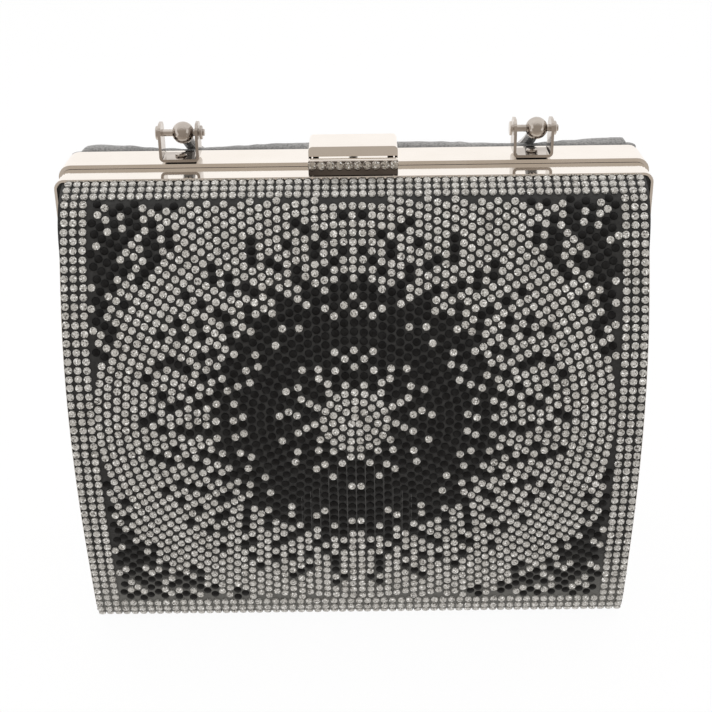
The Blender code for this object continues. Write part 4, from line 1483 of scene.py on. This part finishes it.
@dataclass(frozen=True)
class PaddedBack(Assembly):
    """The padded velvet of the back, rolled over at its edges, with soft dents and puckers."""

    side_wall: float = 0.0014
    edge: float = 0.0008
    pad: float = 0.0015
    puff: float = 0.0030
    start: float = 0.0023
    corner: float = 0.0024
    least: float = 0.0006
    rows: int = 150
    columns: int = 181
    corner_steps: int = 7
    side_steps: Triple = (0.0, 0.33, 0.66)
    edge_sharpness: float = 45.0
    even_rate: float = 3.0
    dent_seed: int = 21
    dent_wave: float = 0.045
    dent_depth: float = 0.00010
    dent_growth: float = 0.00018
    crease_seed: int = 22
    crease_wave: float = 0.014
    crease_depth: float = 0.00010
    pucker_pitch: float = 0.0085
    pucker_depth: float = 0.00010
    pucker_sway: float = 1.7
    pucker_sway_rate: float = 190.0
    pucker_reach_top: float = 0.008
    pucker_reach_base: float = 0.010
    rim_share: float = 0.35
    rim_reach: float = 0.0030
    under_bend: float = 0.8
    under_reach: float = 0.9
    fill: float = 0.55
    # Share of half the width, share of the fullness along the top edge
    across_shares: tuple[Pair, ...] = (
        (-1.0, 0.35),
        (-0.985, 0.66),
        (-0.965, 1.0),
        (-0.93, 1.08),
        (-0.88, 1.02),
        (-0.815, 0.90),
        (-0.76, 0.72),
        (-0.705, 0.54),
        (-0.635, 0.43),
        (-0.58, 0.44),
        (-0.525, 0.54),
        (-0.435, 0.71),
        (-0.325, 0.87),
        (-0.18, 1.0),
        (0.0, 1.04),
        (0.175, 1.02),
        (0.325, 0.93),
        (0.47, 0.72),
        (0.56, 0.58),
        (0.65, 0.62),
        (0.745, 0.77),
        (0.82, 0.96),
        (0.87, 1.10),
        (0.94, 1.20),
        (0.978, 1.12),
        (0.992, 0.8),
        (1.0, 0.5),
    )
    # Share of the way down, share of the fullness
    down_shares: tuple[Pair, ...] = (
        (0.0, 0.2),
        (0.012, 0.75),
        (0.03, 1.0),
        (0.07, 0.95),
        (0.14, 0.70),
        (0.3, 0.42),
        (0.6, 0.30),
        (0.9, 0.20),
        (1.0, 0.0),
    )

    @property
    def half(self) -> float:
        """Half the width that the cover lies on."""
        return self.case.shell_half + self.case.rear_spread + self.case.gap

    @property
    def end(self) -> float:
        """Y where the cover ends, just behind the rear frame."""
        return self.case.rear_face + self.case.gap

    def thickness(self, across: np.ndarray, s: float) -> np.ndarray:
        """Thickness of the padding, with its rolled edge and its relief.

        Args:
            across: Shares of half the width.
            s: Distance down the surface.

        Returns:
            The thickness at each place.
        """
        length = self.case.rear_curve.length
        across = np.clip(across, -1.0, 1.0)
        down = s / length
        lower = min(1.0, self.even_rate * down)
        fall = np.interp(down, *zip(*self.down_shares))
        local = np.interp(across, *zip(*self.across_shares))
        evened = local + (1.0 - local) * lower
        edge = np.clip((1.0 - np.abs(across)) * self.edge_sharpness, 0.0, 1.0) ** 0.5
        thick = self.edge + edge * (self.pad - self.edge) + self.puff * fall * evened * edge
        x = across * self.half
        y = np.full_like(x, s)
        dent_depth = self.dent_depth + self.dent_growth * lower
        dents = dent_depth * ripples(x, y, self.dent_seed, self.dent_wave)
        relief = dents + self.crease_depth * ripples(x, y, self.crease_seed, self.crease_wave)
        sway = self.pucker_sway * np.sin(x * self.pucker_sway_rate)
        pucker = self.pucker_depth * np.sin(x * math.tau / self.pucker_pitch + sway)
        from_top = (s - self.start) / self.pucker_reach_top
        from_base = (length - s) / self.pucker_reach_base
        close = math.exp(-(from_top**2)) + math.exp(-(from_base**2))
        rim = min(1.0, self.rim_share + (s - self.start) / self.rim_reach)
        roll = math.sqrt(max(1.0 - (1.0 - rim) ** 2, 0.0))
        return np.maximum(thick * roll + (relief + pucker * close) * edge * roll, self.least)

    def side(self, hand: Hand, outer: Triple, inner: Pair) -> Grids:
        """The cover where it turns over one side of the shell.

        Args:
            hand: The side.
            outer: Where the padding ends on its outer side.
            inner: Y and Z of its inner side there.

        Returns:
            Outer and inner places, from the frame up.
        """
        x, y, z = outer
        inner_y, inner_z = inner
        sign, end = hand.value, self.end
        turn = min(self.corner, max(y - end, 0.0))
        wall_x = sign * (self.half + self.side_wall)
        places = [
            (wall_x, end + (y - turn - end) * f, inner_z + (z - inner_z) * f * f)
            for f in self.side_steps
        ]
        for angle in np.radians(np.linspace(0.0, 90.0, self.corner_steps))[:-1]:
            bent = (1.0 - math.cos(angle), 1.0 - math.sin(angle))
            places.append((wall_x - sign * self.corner * bent[0], y - turn * bent[1], z))
        side_x, inner_end = sign * self.half, max(inner_y, end)
        under = []
        for f in np.linspace(0.0, 1.0, len(places)):
            reach = max(0.0, (f - self.under_bend) / (1.0 - self.under_bend)) * self.under_reach
            rise = min(1.0, f / self.under_bend)
            under.append((side_x + (x - side_x) * reach, end + (inner_end - end) * rise, inner_z))
        return np.array(places), np.array(under)

    def row(self, s: float) -> Grids:
        """One row of the cover, from side to side.

        Args:
            s: Distance down the surface.

        Returns:
            Outer and inner places.
        """
        case, inset = self.case, self.case.panel_thickness
        (out, height), (way_y, way_z) = case.rear_curve.place(s), case.rear_curve.outward(s)
        base = case.rear_face + out
        x = np.linspace(-1.0, 1.0, self.columns) * (self.half + self.side_wall - self.corner)
        thick = self.thickness(x / self.half, s) - inset
        y, z = base + way_y * thick, height + way_z * thick
        inner_y, inner_z = max(base - way_y * inset, self.end), height - way_z * inset
        left, left_in = self.side(Hand.LEFT, (x[0], y[0], z[0]), (inner_y, inner_z))
        right, right_in = self.side(Hand.RIGHT, (x[-1], y[-1], z[-1]), (inner_y, inner_z))
        outer = np.stack([x, y, z], axis=-1)
        inner = np.stack([x, np.full_like(x, inner_y), np.full_like(x, inner_z)], axis=-1)
        return (
            np.concatenate([left, outer, right[::-1]]),
            np.concatenate([left_in, inner, right_in[::-1]]),
        )

    def build(self) -> list[bpy.types.Object]:
        """Builds the cover.

        Returns:
            The cover alone.
        """
        down = (self.case.rear_curve.length - self.start) * np.linspace(0.0, 1.0, self.rows)
        outer, inner = (np.array(grid) for grid in zip(*map(self.row, self.start + down)))
        parts = shell_of_grids(outer, inner)
        piece = new_object("padded_velvet_back", *parts, Shading.SMOOTH)
        coat(piece, self.palette.velvet)
        return [settle(piece, Body.REAR_HALF, "rear_cover")]


@dataclass(frozen=True)
class Linings(Assembly):
    """The satin inside each half, a little rippled where it is glued."""

    merge_reach: float = 0.000001
    levels: int = 2
    front_seed: int = 31
    rear_seed: int = 37
    ripple_wave: float = 0.02
    ripple_depth: float = 0.00010
    crease: float = math.radians(40.0)

    def lining(self, node: str, body: Body, seed: int) -> bpy.types.Object:
        """Makes one lining.

        Args:
            node: The CAD node that it replaces.
            body: The body that it rides on.
            seed: Seed of its ripples.

        Returns:
            The lining.
        """
        coarse = linked(f"{node}_coarse", self.nodes[node].data.copy())
        merged = coarse.modifiers.new("merged", "WELD")
        merged.merge_threshold = self.merge_reach
        fine = coarse.modifiers.new("fine", "SUBSURF")
        fine.subdivision_type = "SIMPLE"
        fine.levels = fine.render_levels = self.levels
        piece = baked(f"{node}_satin", coarse)
        mesh = piece.data
        places, normals = np.empty((2, len(mesh.vertices) * 3))
        mesh.vertices.foreach_get("co", places)
        mesh.vertices.foreach_get("normal", normals)
        places, normals = places.reshape(-1, 3), normals.reshape(-1, 3)
        relief = ripples(places[:, 0], places[:, 2] + places[:, 1], seed, self.ripple_wave)
        places += normals * (self.ripple_depth * relief)[:, None]
        mesh.vertices.foreach_set("co", places.ravel())
        mesh.polygons.foreach_set("use_smooth", [True] * len(mesh.polygons))
        mesh.set_sharp_from_angle(angle=self.crease)
        coat(piece, self.palette.satin)
        return settle(piece, body, node)

    def build(self) -> list[bpy.types.Object]:
        """Builds the linings.

        Returns:
            The front and the rear one.
        """
        return [
            self.lining("front_lining", Body.FRONT_HALF, self.front_seed),
            self.lining("rear_lining", Body.REAR_HALF, self.rear_seed),
        ]


@dataclass(frozen=True)
class StoneNet(Assembly):
    """The dark net under the stones, turned over the shell's sides near the top."""

    half: float = 0.0890
    wrap_wall: float = 0.0003
    wrap_gap: float = 0.00005
    wrap_depth: float = 0.0026
    wrap_end: float = 0.030
    wrap_fade: float = 0.016
    rows: int = 150
    crease: float = math.radians(40.0)

    def grid(self, s: np.ndarray, columns: Sequence[Grids]) -> np.ndarray:
        """A grid of places, mirrored about the middle.

        Args:
            s: Distance down the surface of each row.
            columns: (x, depth under the surface) of each column, from the side to the middle.

        Returns:
            The places.
        """
        section = [(-x, drop) for x, drop in columns] + list(columns[-2::-1])
        x = np.stack([column[0] for column in section], axis=-1)
        drop = np.stack([column[1] for column in section], axis=-1)
        places, ways = self.case.on_front(x, np.repeat(s[:, None], len(section), axis=1), 0.0)
        return places - ways * drop[:, :, None]

    def build(self) -> list[bpy.types.Object]:
        """Builds the net.

        Returns:
            The net alone.
        """
        case = self.case
        s = np.linspace(0.0, case.front_curve.length, self.rows)
        wrap = np.clip((self.wrap_end - s) / self.wrap_fade, 0.0, 1.0)
        wrap = wrap * wrap * (3.0 - 2.0 * wrap)
        wrapped = case.shell_half + self.wrap_wall + self.wrap_gap
        half = self.half + (wrapped - self.half) * wrap
        depth = case.panel_thickness + (self.wrap_depth - case.panel_thickness) * wrap
        flat, thick = np.zeros_like(s), np.full_like(s, case.panel_thickness)
        middle, inside = 0 * half, half - self.wrap_wall
        outer = self.grid(s, ((half, depth), (half, flat), (half / 2, flat), (middle, flat)))
        inner = self.grid(
            s, ((inside, depth), (inside, thick), (half / 2, thick), (middle, thick))
        )
        piece = new_object("stone_net", *shell_of_grids(inner, outer), Shading.SMOOTH)
        piece.data.set_sharp_from_angle(angle=self.crease)
        coat(piece, self.palette.net)
        return [settle(piece, Body.FRONT_HALF, "front_panel")]


@dataclass(frozen=True)
class EdgeBindings(Assembly):
    """The black strips that fill the frame's channel beside the panel."""

    inner: float = 0.0897
    outer: float = 0.0916
    corner: float = 0.0022
    top: float = 0.1490
    base: float = 0.0010
    lap: float = 0.0001
    front: float = 0.0005
    back: float = 0.0016
    crown: float = 0.0002
    backing: float = 0.00005
    corner_steps: int = 7
    side_steps: int = 30
    crease: float = math.radians(50.0)

    def path(self) -> list[Pair]:
        """The strip's outer edge.

        Returns:
            (x, z) from the top corner to the bottom one.
        """
        angles = np.radians(np.linspace(90.0, 0.0, self.corner_steps))
        top = [
            (
                self.outer - self.corner * (1 - math.cos(angle)),
                self.top - self.corner * (1 - math.sin(angle)),
            )
            for angle in angles
        ]
        base = [(x, self.top + self.base - z) for x, z in reversed(top)]
        drops = np.linspace(top[-1][1], base[0][1], self.side_steps)[1:-1]
        return top + [(self.outer, z) for z in drops] + base

    def strip(self, hand: Hand) -> bpy.types.Object:
        """Makes one strip.

        Args:
            hand: Its side.

        Returns:
            The strip.
        """
        face = self.case.front_face
        front, back, section = face + self.front, face + self.back, []
        for x, z in self.path():
            near = min(x, self.inner + self.lap)
            edge = front + self.crown
            columns = ((near, back), (near, edge), ((near + x) / 2, front), (x, edge), (x, back))
            section.append([(across, y, z) for across, y in columns])
        grid = np.array(section) * (hand.value, 1.0, 1.0)
        under = grid.copy()
        under[:, :, 1] = back + self.backing
        layers = (grid, under) if hand is Hand.LEFT else (under, grid)
        name = f"edge_binding_{hand.name.lower()}"
        piece = new_object(name, *shell_of_grids(*layers), Shading.SMOOTH)
        piece.data.set_sharp_from_angle(angle=self.crease)
        coat(piece, self.palette.net)
        return settle(piece, Body.FRONT_HALF)

    def build(self) -> list[bpy.types.Object]:
        """Builds the left strip and the right one."""
        return [self.strip(hand) for hand in Hand]


@dataclass(frozen=True)
class FrontStones(Assembly):
    """The clear and jet stones of the front."""

    radius: float = 0.00121
    border: Border = Border()
    medallion: Medallion = Medallion()

    def seats(self, spots: np.ndarray, scatter: Scatter) -> Seats:
        """Seats on the front, each a little out of line.

        Args:
            spots: (x, s) of each stone.
            scatter: How far they stand off and wander.

        Returns:
            The seats.
        """
        dice = np.random.default_rng(scatter.seed)
        spots = spots + dice.normal(0.0, scatter.wander, spots.shape)
        places, ways = self.case.on_front(spots[:, 0], spots[:, 1], scatter.lift)
        ways = ways + dice.normal(0.0, scatter.tilt, ways.shape)
        ways[:, 0] = 0.0
        ways /= np.linalg.norm(ways, axis=1, keepdims=True)
        return Seats(places, ways, dice.uniform(0.0, math.tau, len(spots)))

    def build(self) -> list[bpy.types.Object]:
        """Builds the three sets.

        Returns:
            The border's stones, then the medallion's clear and jet ones.
        """
        clear, jet = self.medallion.spots()
        foiled, black = self.palette.clear, self.palette.jet
        brilliant, dome = StoneCut.BRILLIANT, StoneCut.DOME
        sets = {
            "border_stones": (self.border.spots(), Scatter(0.0005, 0.00005, 3), brilliant, foiled),
            "medallion_clear_stones": (clear, Scatter(0.0005, 0.00009, 5), brilliant, foiled),
            "medallion_jet_stones": (jet, Scatter(0.0001, 0.00007, 7), dome, black),
        }
        pieces = []
        for name, (spots, scatter, cut, finish) in sets.items():
            piece = set_stones(name, self.seats(spots, scatter), cut, self.radius, finish)
            pieces.append(settle(piece, Body.FRONT_HALF))
        return pieces


@dataclass(frozen=True)
class NetThreads(Assembly):
    """The pale threads of the net that show between the jet stones under the middle."""

    medallion: Medallion = Medallion()
    radius: float = 0.00007
    sides: int = 6
    pitch: float = 0.00292
    reach: int = 6
    lift: float = 0.00042
    near_start: float = 0.0135
    far_start: float = 0.0190
    near_reach: int = 4
    start_step: float = 0.0012
    end: float = 0.046
    end_step: float = 0.001
    points: int = 30

    def tree(self) -> ShapeTree:
        """Builds the tree that gives lines the round section of a thread.

        Returns:
            The tree, with inputs for the thread's radius, sides and material.
        """
        inputs = {
            "Radius": "NodeSocketFloat",
            "Sides": "NodeSocketInt",
            "Material": "NodeSocketMaterial",
        }
        tree = ShapeTree("threads_on_lines", inputs)
        lines = tree.node("GeometryNodeMeshToCurve", None, {"Mesh": tree.given["Geometry"]})
        section = tree.node(
            "GeometryNodeCurvePrimitiveCircle",
            {"mode": "RADIUS"},
            {"Resolution": tree.given["Sides"], "Radius": tree.given["Radius"]},
        )
        feeds = {"Curve": lines.outputs[0], "Profile Curve": section.outputs[0], "Fill Caps": True}
        threads = tree.node("GeometryNodeCurveToMesh", None, feeds)
        feeds = {"Geometry": threads.outputs[0], "Shade Smooth": True}
        tree.close(tree.node("GeometryNodeSetShadeSmooth", None, feeds).outputs[0])
        return tree

    def build(self) -> list[bpy.types.Object]:
        """Builds the threads.

        Returns:
            One piece with every thread.
        """
        places, edges = [], []
        centre_x, centre_s = self.medallion.centre
        for column in range(-self.reach, self.reach + 1):
            away = abs(column)
            start = self.near_start if away < self.near_reach else self.far_start
            first = centre_s + start + self.start_step * away
            last = centre_s + self.end - self.end_step * away
            s = np.linspace(first, last, self.points)
            x = np.full_like(s, centre_x + column * self.pitch)
            edges += [(len(places) + k, len(places) + k + 1) for k in range(self.points - 1)]
            places += list(self.case.on_front(x, s, self.lift)[0])
        lines = new_object("net_threads_line", places, [], Shading.SMOOTH, edges)
        finish = self.palette.thread
        values = {"Radius": self.radius, "Sides": self.sides, "Material": finish.material}
        piece = self.tree().run("net_threads", lines, values)
        return [settle(piece, Body.FRONT_HALF)]


@dataclass(frozen=True)
class CaseHalves(Assembly):
    """The two frames and the moulded shells in them."""

    edges: BrokenEdges = BrokenEdges()

    def build(self) -> list[bpy.types.Object]:
        """Dresses the frames and shells, four nodes in all."""
        frames = self.coated(self.palette.nickel, ("front_frame", "rear_frame"), self.edges)
        return frames + self.coated(self.palette.moulding, ("front_shell", "rear_shell"))


@dataclass(frozen=True)
class Hinge(Assembly):
    """The hinge along the bottom."""

    def build(self) -> list[bpy.types.Object]:
        """Dresses the leaves and the pin."""
        names = ("hinge_leaf_front", "hinge_leaf_rear", "hinge_pin")
        return self.coated(self.palette.steel, names)


@dataclass(frozen=True)
class HandleFittings(Assembly):
    """The arched handle, with what holds it on each side."""

    edges: BrokenEdges = BrokenEdges()
    fittings: tuple[str, ...] = ("bracket_rivet", "pin_ring", "ball_end", "handle_pin")

    def build(self) -> list[bpy.types.Object]:
        """Dresses the handle, brackets, rivets, rings, balls and pins.

        Returns:
            The eleven nodes' objects.
        """
        sides = [hand.name.lower() for hand in Hand]
        brackets = [f"{side}_bracket" for side in sides]
        fittings = [f"{side}_{fitting}" for side in sides for fitting in self.fittings]
        pieces = self.coated(self.palette.aged, brackets, self.edges)
        pieces += self.coated(self.palette.aged, fittings)
        return pieces + self.coated(self.palette.lacquer, ("handle_bar",))


@dataclass(frozen=True)
class Clasp(Assembly):
    """The fold-over clasp, with the row of small stones in the seats of its base."""

    edges: BrokenEdges = BrokenEdges()
    stones: int = 10
    pitch: float = 0.0028
    height: float = 0.1535
    sink: float = 0.0002
    stone_radius: float = 0.00122
    cup_radius: float = 0.00139
    seed: int = 11

    def seats(self) -> Seats:
        """Seats in a row along the front of the base.

        Returns:
            The seats.
        """
        low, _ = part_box("clasp_base")
        count = self.stones
        x = (np.arange(count) - (count - 1) / 2) * self.pitch
        y, z = np.full(count, low[1] - self.sink), np.full(count, self.height)
        spins = np.random.default_rng(self.seed).uniform(0.0, math.tau, count)
        return Seats(np.stack([x, y, z], axis=-1), np.tile([0.0, -1.0, 0.0], (count, 1)), spins)

    def build(self) -> list[bpy.types.Object]:
        """Dresses the clasp's nodes and builds its stones and their cups.

        Returns:
            The pieces.
        """
        palette, seats = self.palette, self.seats()
        rivets = ("clasp_rivet_left", "clasp_rivet_right")
        pieces = self.coated(palette.nickel, ("clasp_bar",), self.edges)
        pieces += self.coated(palette.nickel, rivets)
        pieces += self.coated(palette.smoked, ("clasp_base",), self.edges)
        pieces += self.coated(palette.steel, ("clasp_pin", "clasp_stud"))
        brilliant, cup = StoneCut.BRILLIANT, StoneCut.CUP
        stones = set_stones("clasp_stones", seats, brilliant, self.stone_radius, palette.smoky)
        cups = set_stones("clasp_stone_cups", seats, cup, self.cup_radius, palette.aged)
        pieces.append(settle(stones, Body.FRONT_HALF))
        pieces.append(settle(cups, Body.FRONT_HALF))
        return pieces


# --------------------------------------------------------------------------- studio


@dataclass(frozen=True)
class StudioCamera:
    """The photograph's camera, placed from the middle of the seam plane's foot."""

    place: Triple = (0.002469, -0.390599, 0.268887)
    elevation: float = 0.442685
    azimuth: float = -0.006501
    roll: float = 0.014929
    focal_pixels: float = 1281.58
    image_width: int = 712
    sensor_width: float = 36.0
    nearest: float = 0.01

    def build(self, seam_y: float) -> None:
        """Makes it the scene's camera.

        Args:
            seam_y: Y of the seam plane.
        """
        data = bpy.data.cameras.new("camera")
        data.sensor_width = self.sensor_width
        data.lens = self.focal_pixels / self.image_width * data.sensor_width
        data.clip_start = self.nearest
        camera = linked("camera", data)
        x, y, z = self.place
        camera.matrix_world = (
            Matrix.Translation((x, y + seam_y, z))
            @ Matrix.Rotation(-self.azimuth, 4, "Z")
            @ Matrix.Rotation(math.pi / 2 - self.elevation, 4, "X")
            @ Matrix.Rotation(-self.roll, 4, "Z")
        )
        bpy.context.scene.camera = camera


@dataclass(frozen=True)
class Softbox:
    """A rectangular lamp that looks at a point and isn't mirrored itself."""

    name: str
    place: Triple
    aim: Triple
    size: Pair
    power: float
    colour: Triple = (1.0, 0.985, 0.96)

    def build(self) -> None:
        """Makes the lamp."""
        data = bpy.data.lights.new(self.name, "AREA")
        data.shape = "RECTANGLE"
        data.size, data.size_y = self.size
        data.energy = self.power
        data.color = self.colour
        lamp = linked(self.name, data)
        lamp.location = self.place
        lamp.visible_glossy = False
        way = Vector(self.aim) - Vector(self.place)
        lamp.rotation_euler = way.to_track_quat("-Z", "Y").to_euler()


@dataclass(frozen=True)
class Surroundings:
    """Even soft light and a white backdrop. Metal mirrors a studio: bright, and dim in front."""

    even: Triple = (1.0, 0.995, 0.985)
    strength: float = 0.82
    backdrop: Triple = (1.0, 1.0, 1.0)
    dim: Triple = (0.44, 0.385, 0.335)
    bright: Triple = (1.0, 0.96, 0.925)
    bright_way: Triple = (0.0, 0.72, 0.69)
    behind_levels: Pair = (-0.28, 0.68)
    side_levels: Pair = (0.70, 0.76)
    side_floor_levels: Pair = (-0.45, -0.35)
    below_levels: Pair = (-0.72, -0.80)

    def mirrored(self, world: Graph) -> bpy.types.NodeSocket:
        """What metal mirrors: bright behind, above, below and in two side panels.

        Args:
            world: The world's graph.

        Returns:
            The colour by direction.
        """
        way = world.node("ShaderNodeTexCoord").outputs["Generated"]
        toward = world.node(
            "ShaderNodeVectorMath", {"operation": "DOT_PRODUCT"}, {0: way, 1: self.bright_way}
        )
        x, _, z = world.axes(way)
        behind = world.rise(toward.outputs["Value"], *self.behind_levels, Easing.SOFT)
        panels = world.rise(abs(x), *self.side_levels, Easing.SOFT)
        above_floor = world.rise(z, *self.side_floor_levels, Easing.SOFT)
        below = world.rise(z, *self.below_levels, Easing.SOFT)
        return world.mix(behind | panels * above_floor | below, self.dim, self.bright)

    def build(self) -> None:
        """Makes them the scene's world."""
        data = bpy.data.worlds.new("studio")
        data.use_nodes = True
        bpy.context.scene.world = data
        world = Graph(data.node_tree)
        even = world.tree.nodes["Background"]
        world.feed(even.inputs["Color"], self.even)
        world.feed(even.inputs["Strength"], self.strength)
        rays = world.node("ShaderNodeLightPath").outputs
        seen = even.outputs[0]
        for ray, colour in (
            ("Is Glossy Ray", self.mirrored(world)),
            ("Is Camera Ray", self.backdrop),
        ):
            other = world.node("ShaderNodeBackground", None, {"Color": colour}).outputs[0]
            feeds = {"Fac": rays[ray], 1: seen, 2: other}
            seen = world.node("ShaderNodeMixShader", None, feeds).outputs[0]
        world.feed(world.tree.nodes["World Output"].inputs["Surface"], seen)


@dataclass(frozen=True)
class Studio:
    """The camera, the floor, the surroundings and the lamps."""

    palette: Palette
    seam_y: float
    floor_half: float = 3.0
    camera: StudioCamera = StudioCamera()
    surroundings: Surroundings = Surroundings()
    lamps: tuple[Softbox, ...] = (
        Softbox("top_softbox", (0.0, 0.35, 1.15), (0.0, 0.0, 0.05), (1.6, 1.2), 6.5),
        Softbox("front_fill", (-0.45, -1.0, 0.85), (0.0, 0.0, 0.07), (0.7, 0.7), 1.5),
        Softbox("low_fill", (0.0, -1.2, 0.22), (0.0, 0.0, 0.04), (1.8, 0.4), 4.5),
    )

    def floor(self) -> None:
        """Makes the floor."""
        half = self.floor_half
        corners = [(-half, -half, 0.0), (half, -half, 0.0), (half, half, 0.0), (-half, half, 0.0)]
        floor = new_object("floor", corners, [(0, 1, 2, 3)], Shading.FLAT)
        coat(floor, self.palette.floor)
        floor.visible_glossy = False

    def build(self) -> None:
        """Sets up the studio."""
        self.camera.build(self.seam_y)
        self.floor()
        self.surroundings.build()
        for lamp in self.lamps:
            lamp.build()
        bpy.context.scene.view_settings.view_transform = "Standard"


# --------------------------------------------------------------------------- the scene


def main() -> None:
    """Builds the studio and dresses the clutch."""
    logging.basicConfig(level=logging.INFO, format="%(name)s: %(message)s")
    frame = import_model()
    palette, case = Palette(), CaseShape()
    Studio(palette, case.seam_y).build()
    for kind in (
        PaddedBack,
        Linings,
        CaseHalves,
        Hinge,
        HandleFittings,
        StoneNet,
        EdgeBindings,
        FrontStones,
        NetThreads,
        Clasp,
    ):
        for piece in kind(frame["nodes"], palette, case).build():
            LOG.info("%s: %s, %d faces", kind.__name__, piece.name, len(piece.data.polygons))


if __name__ == "__main__":
    main()
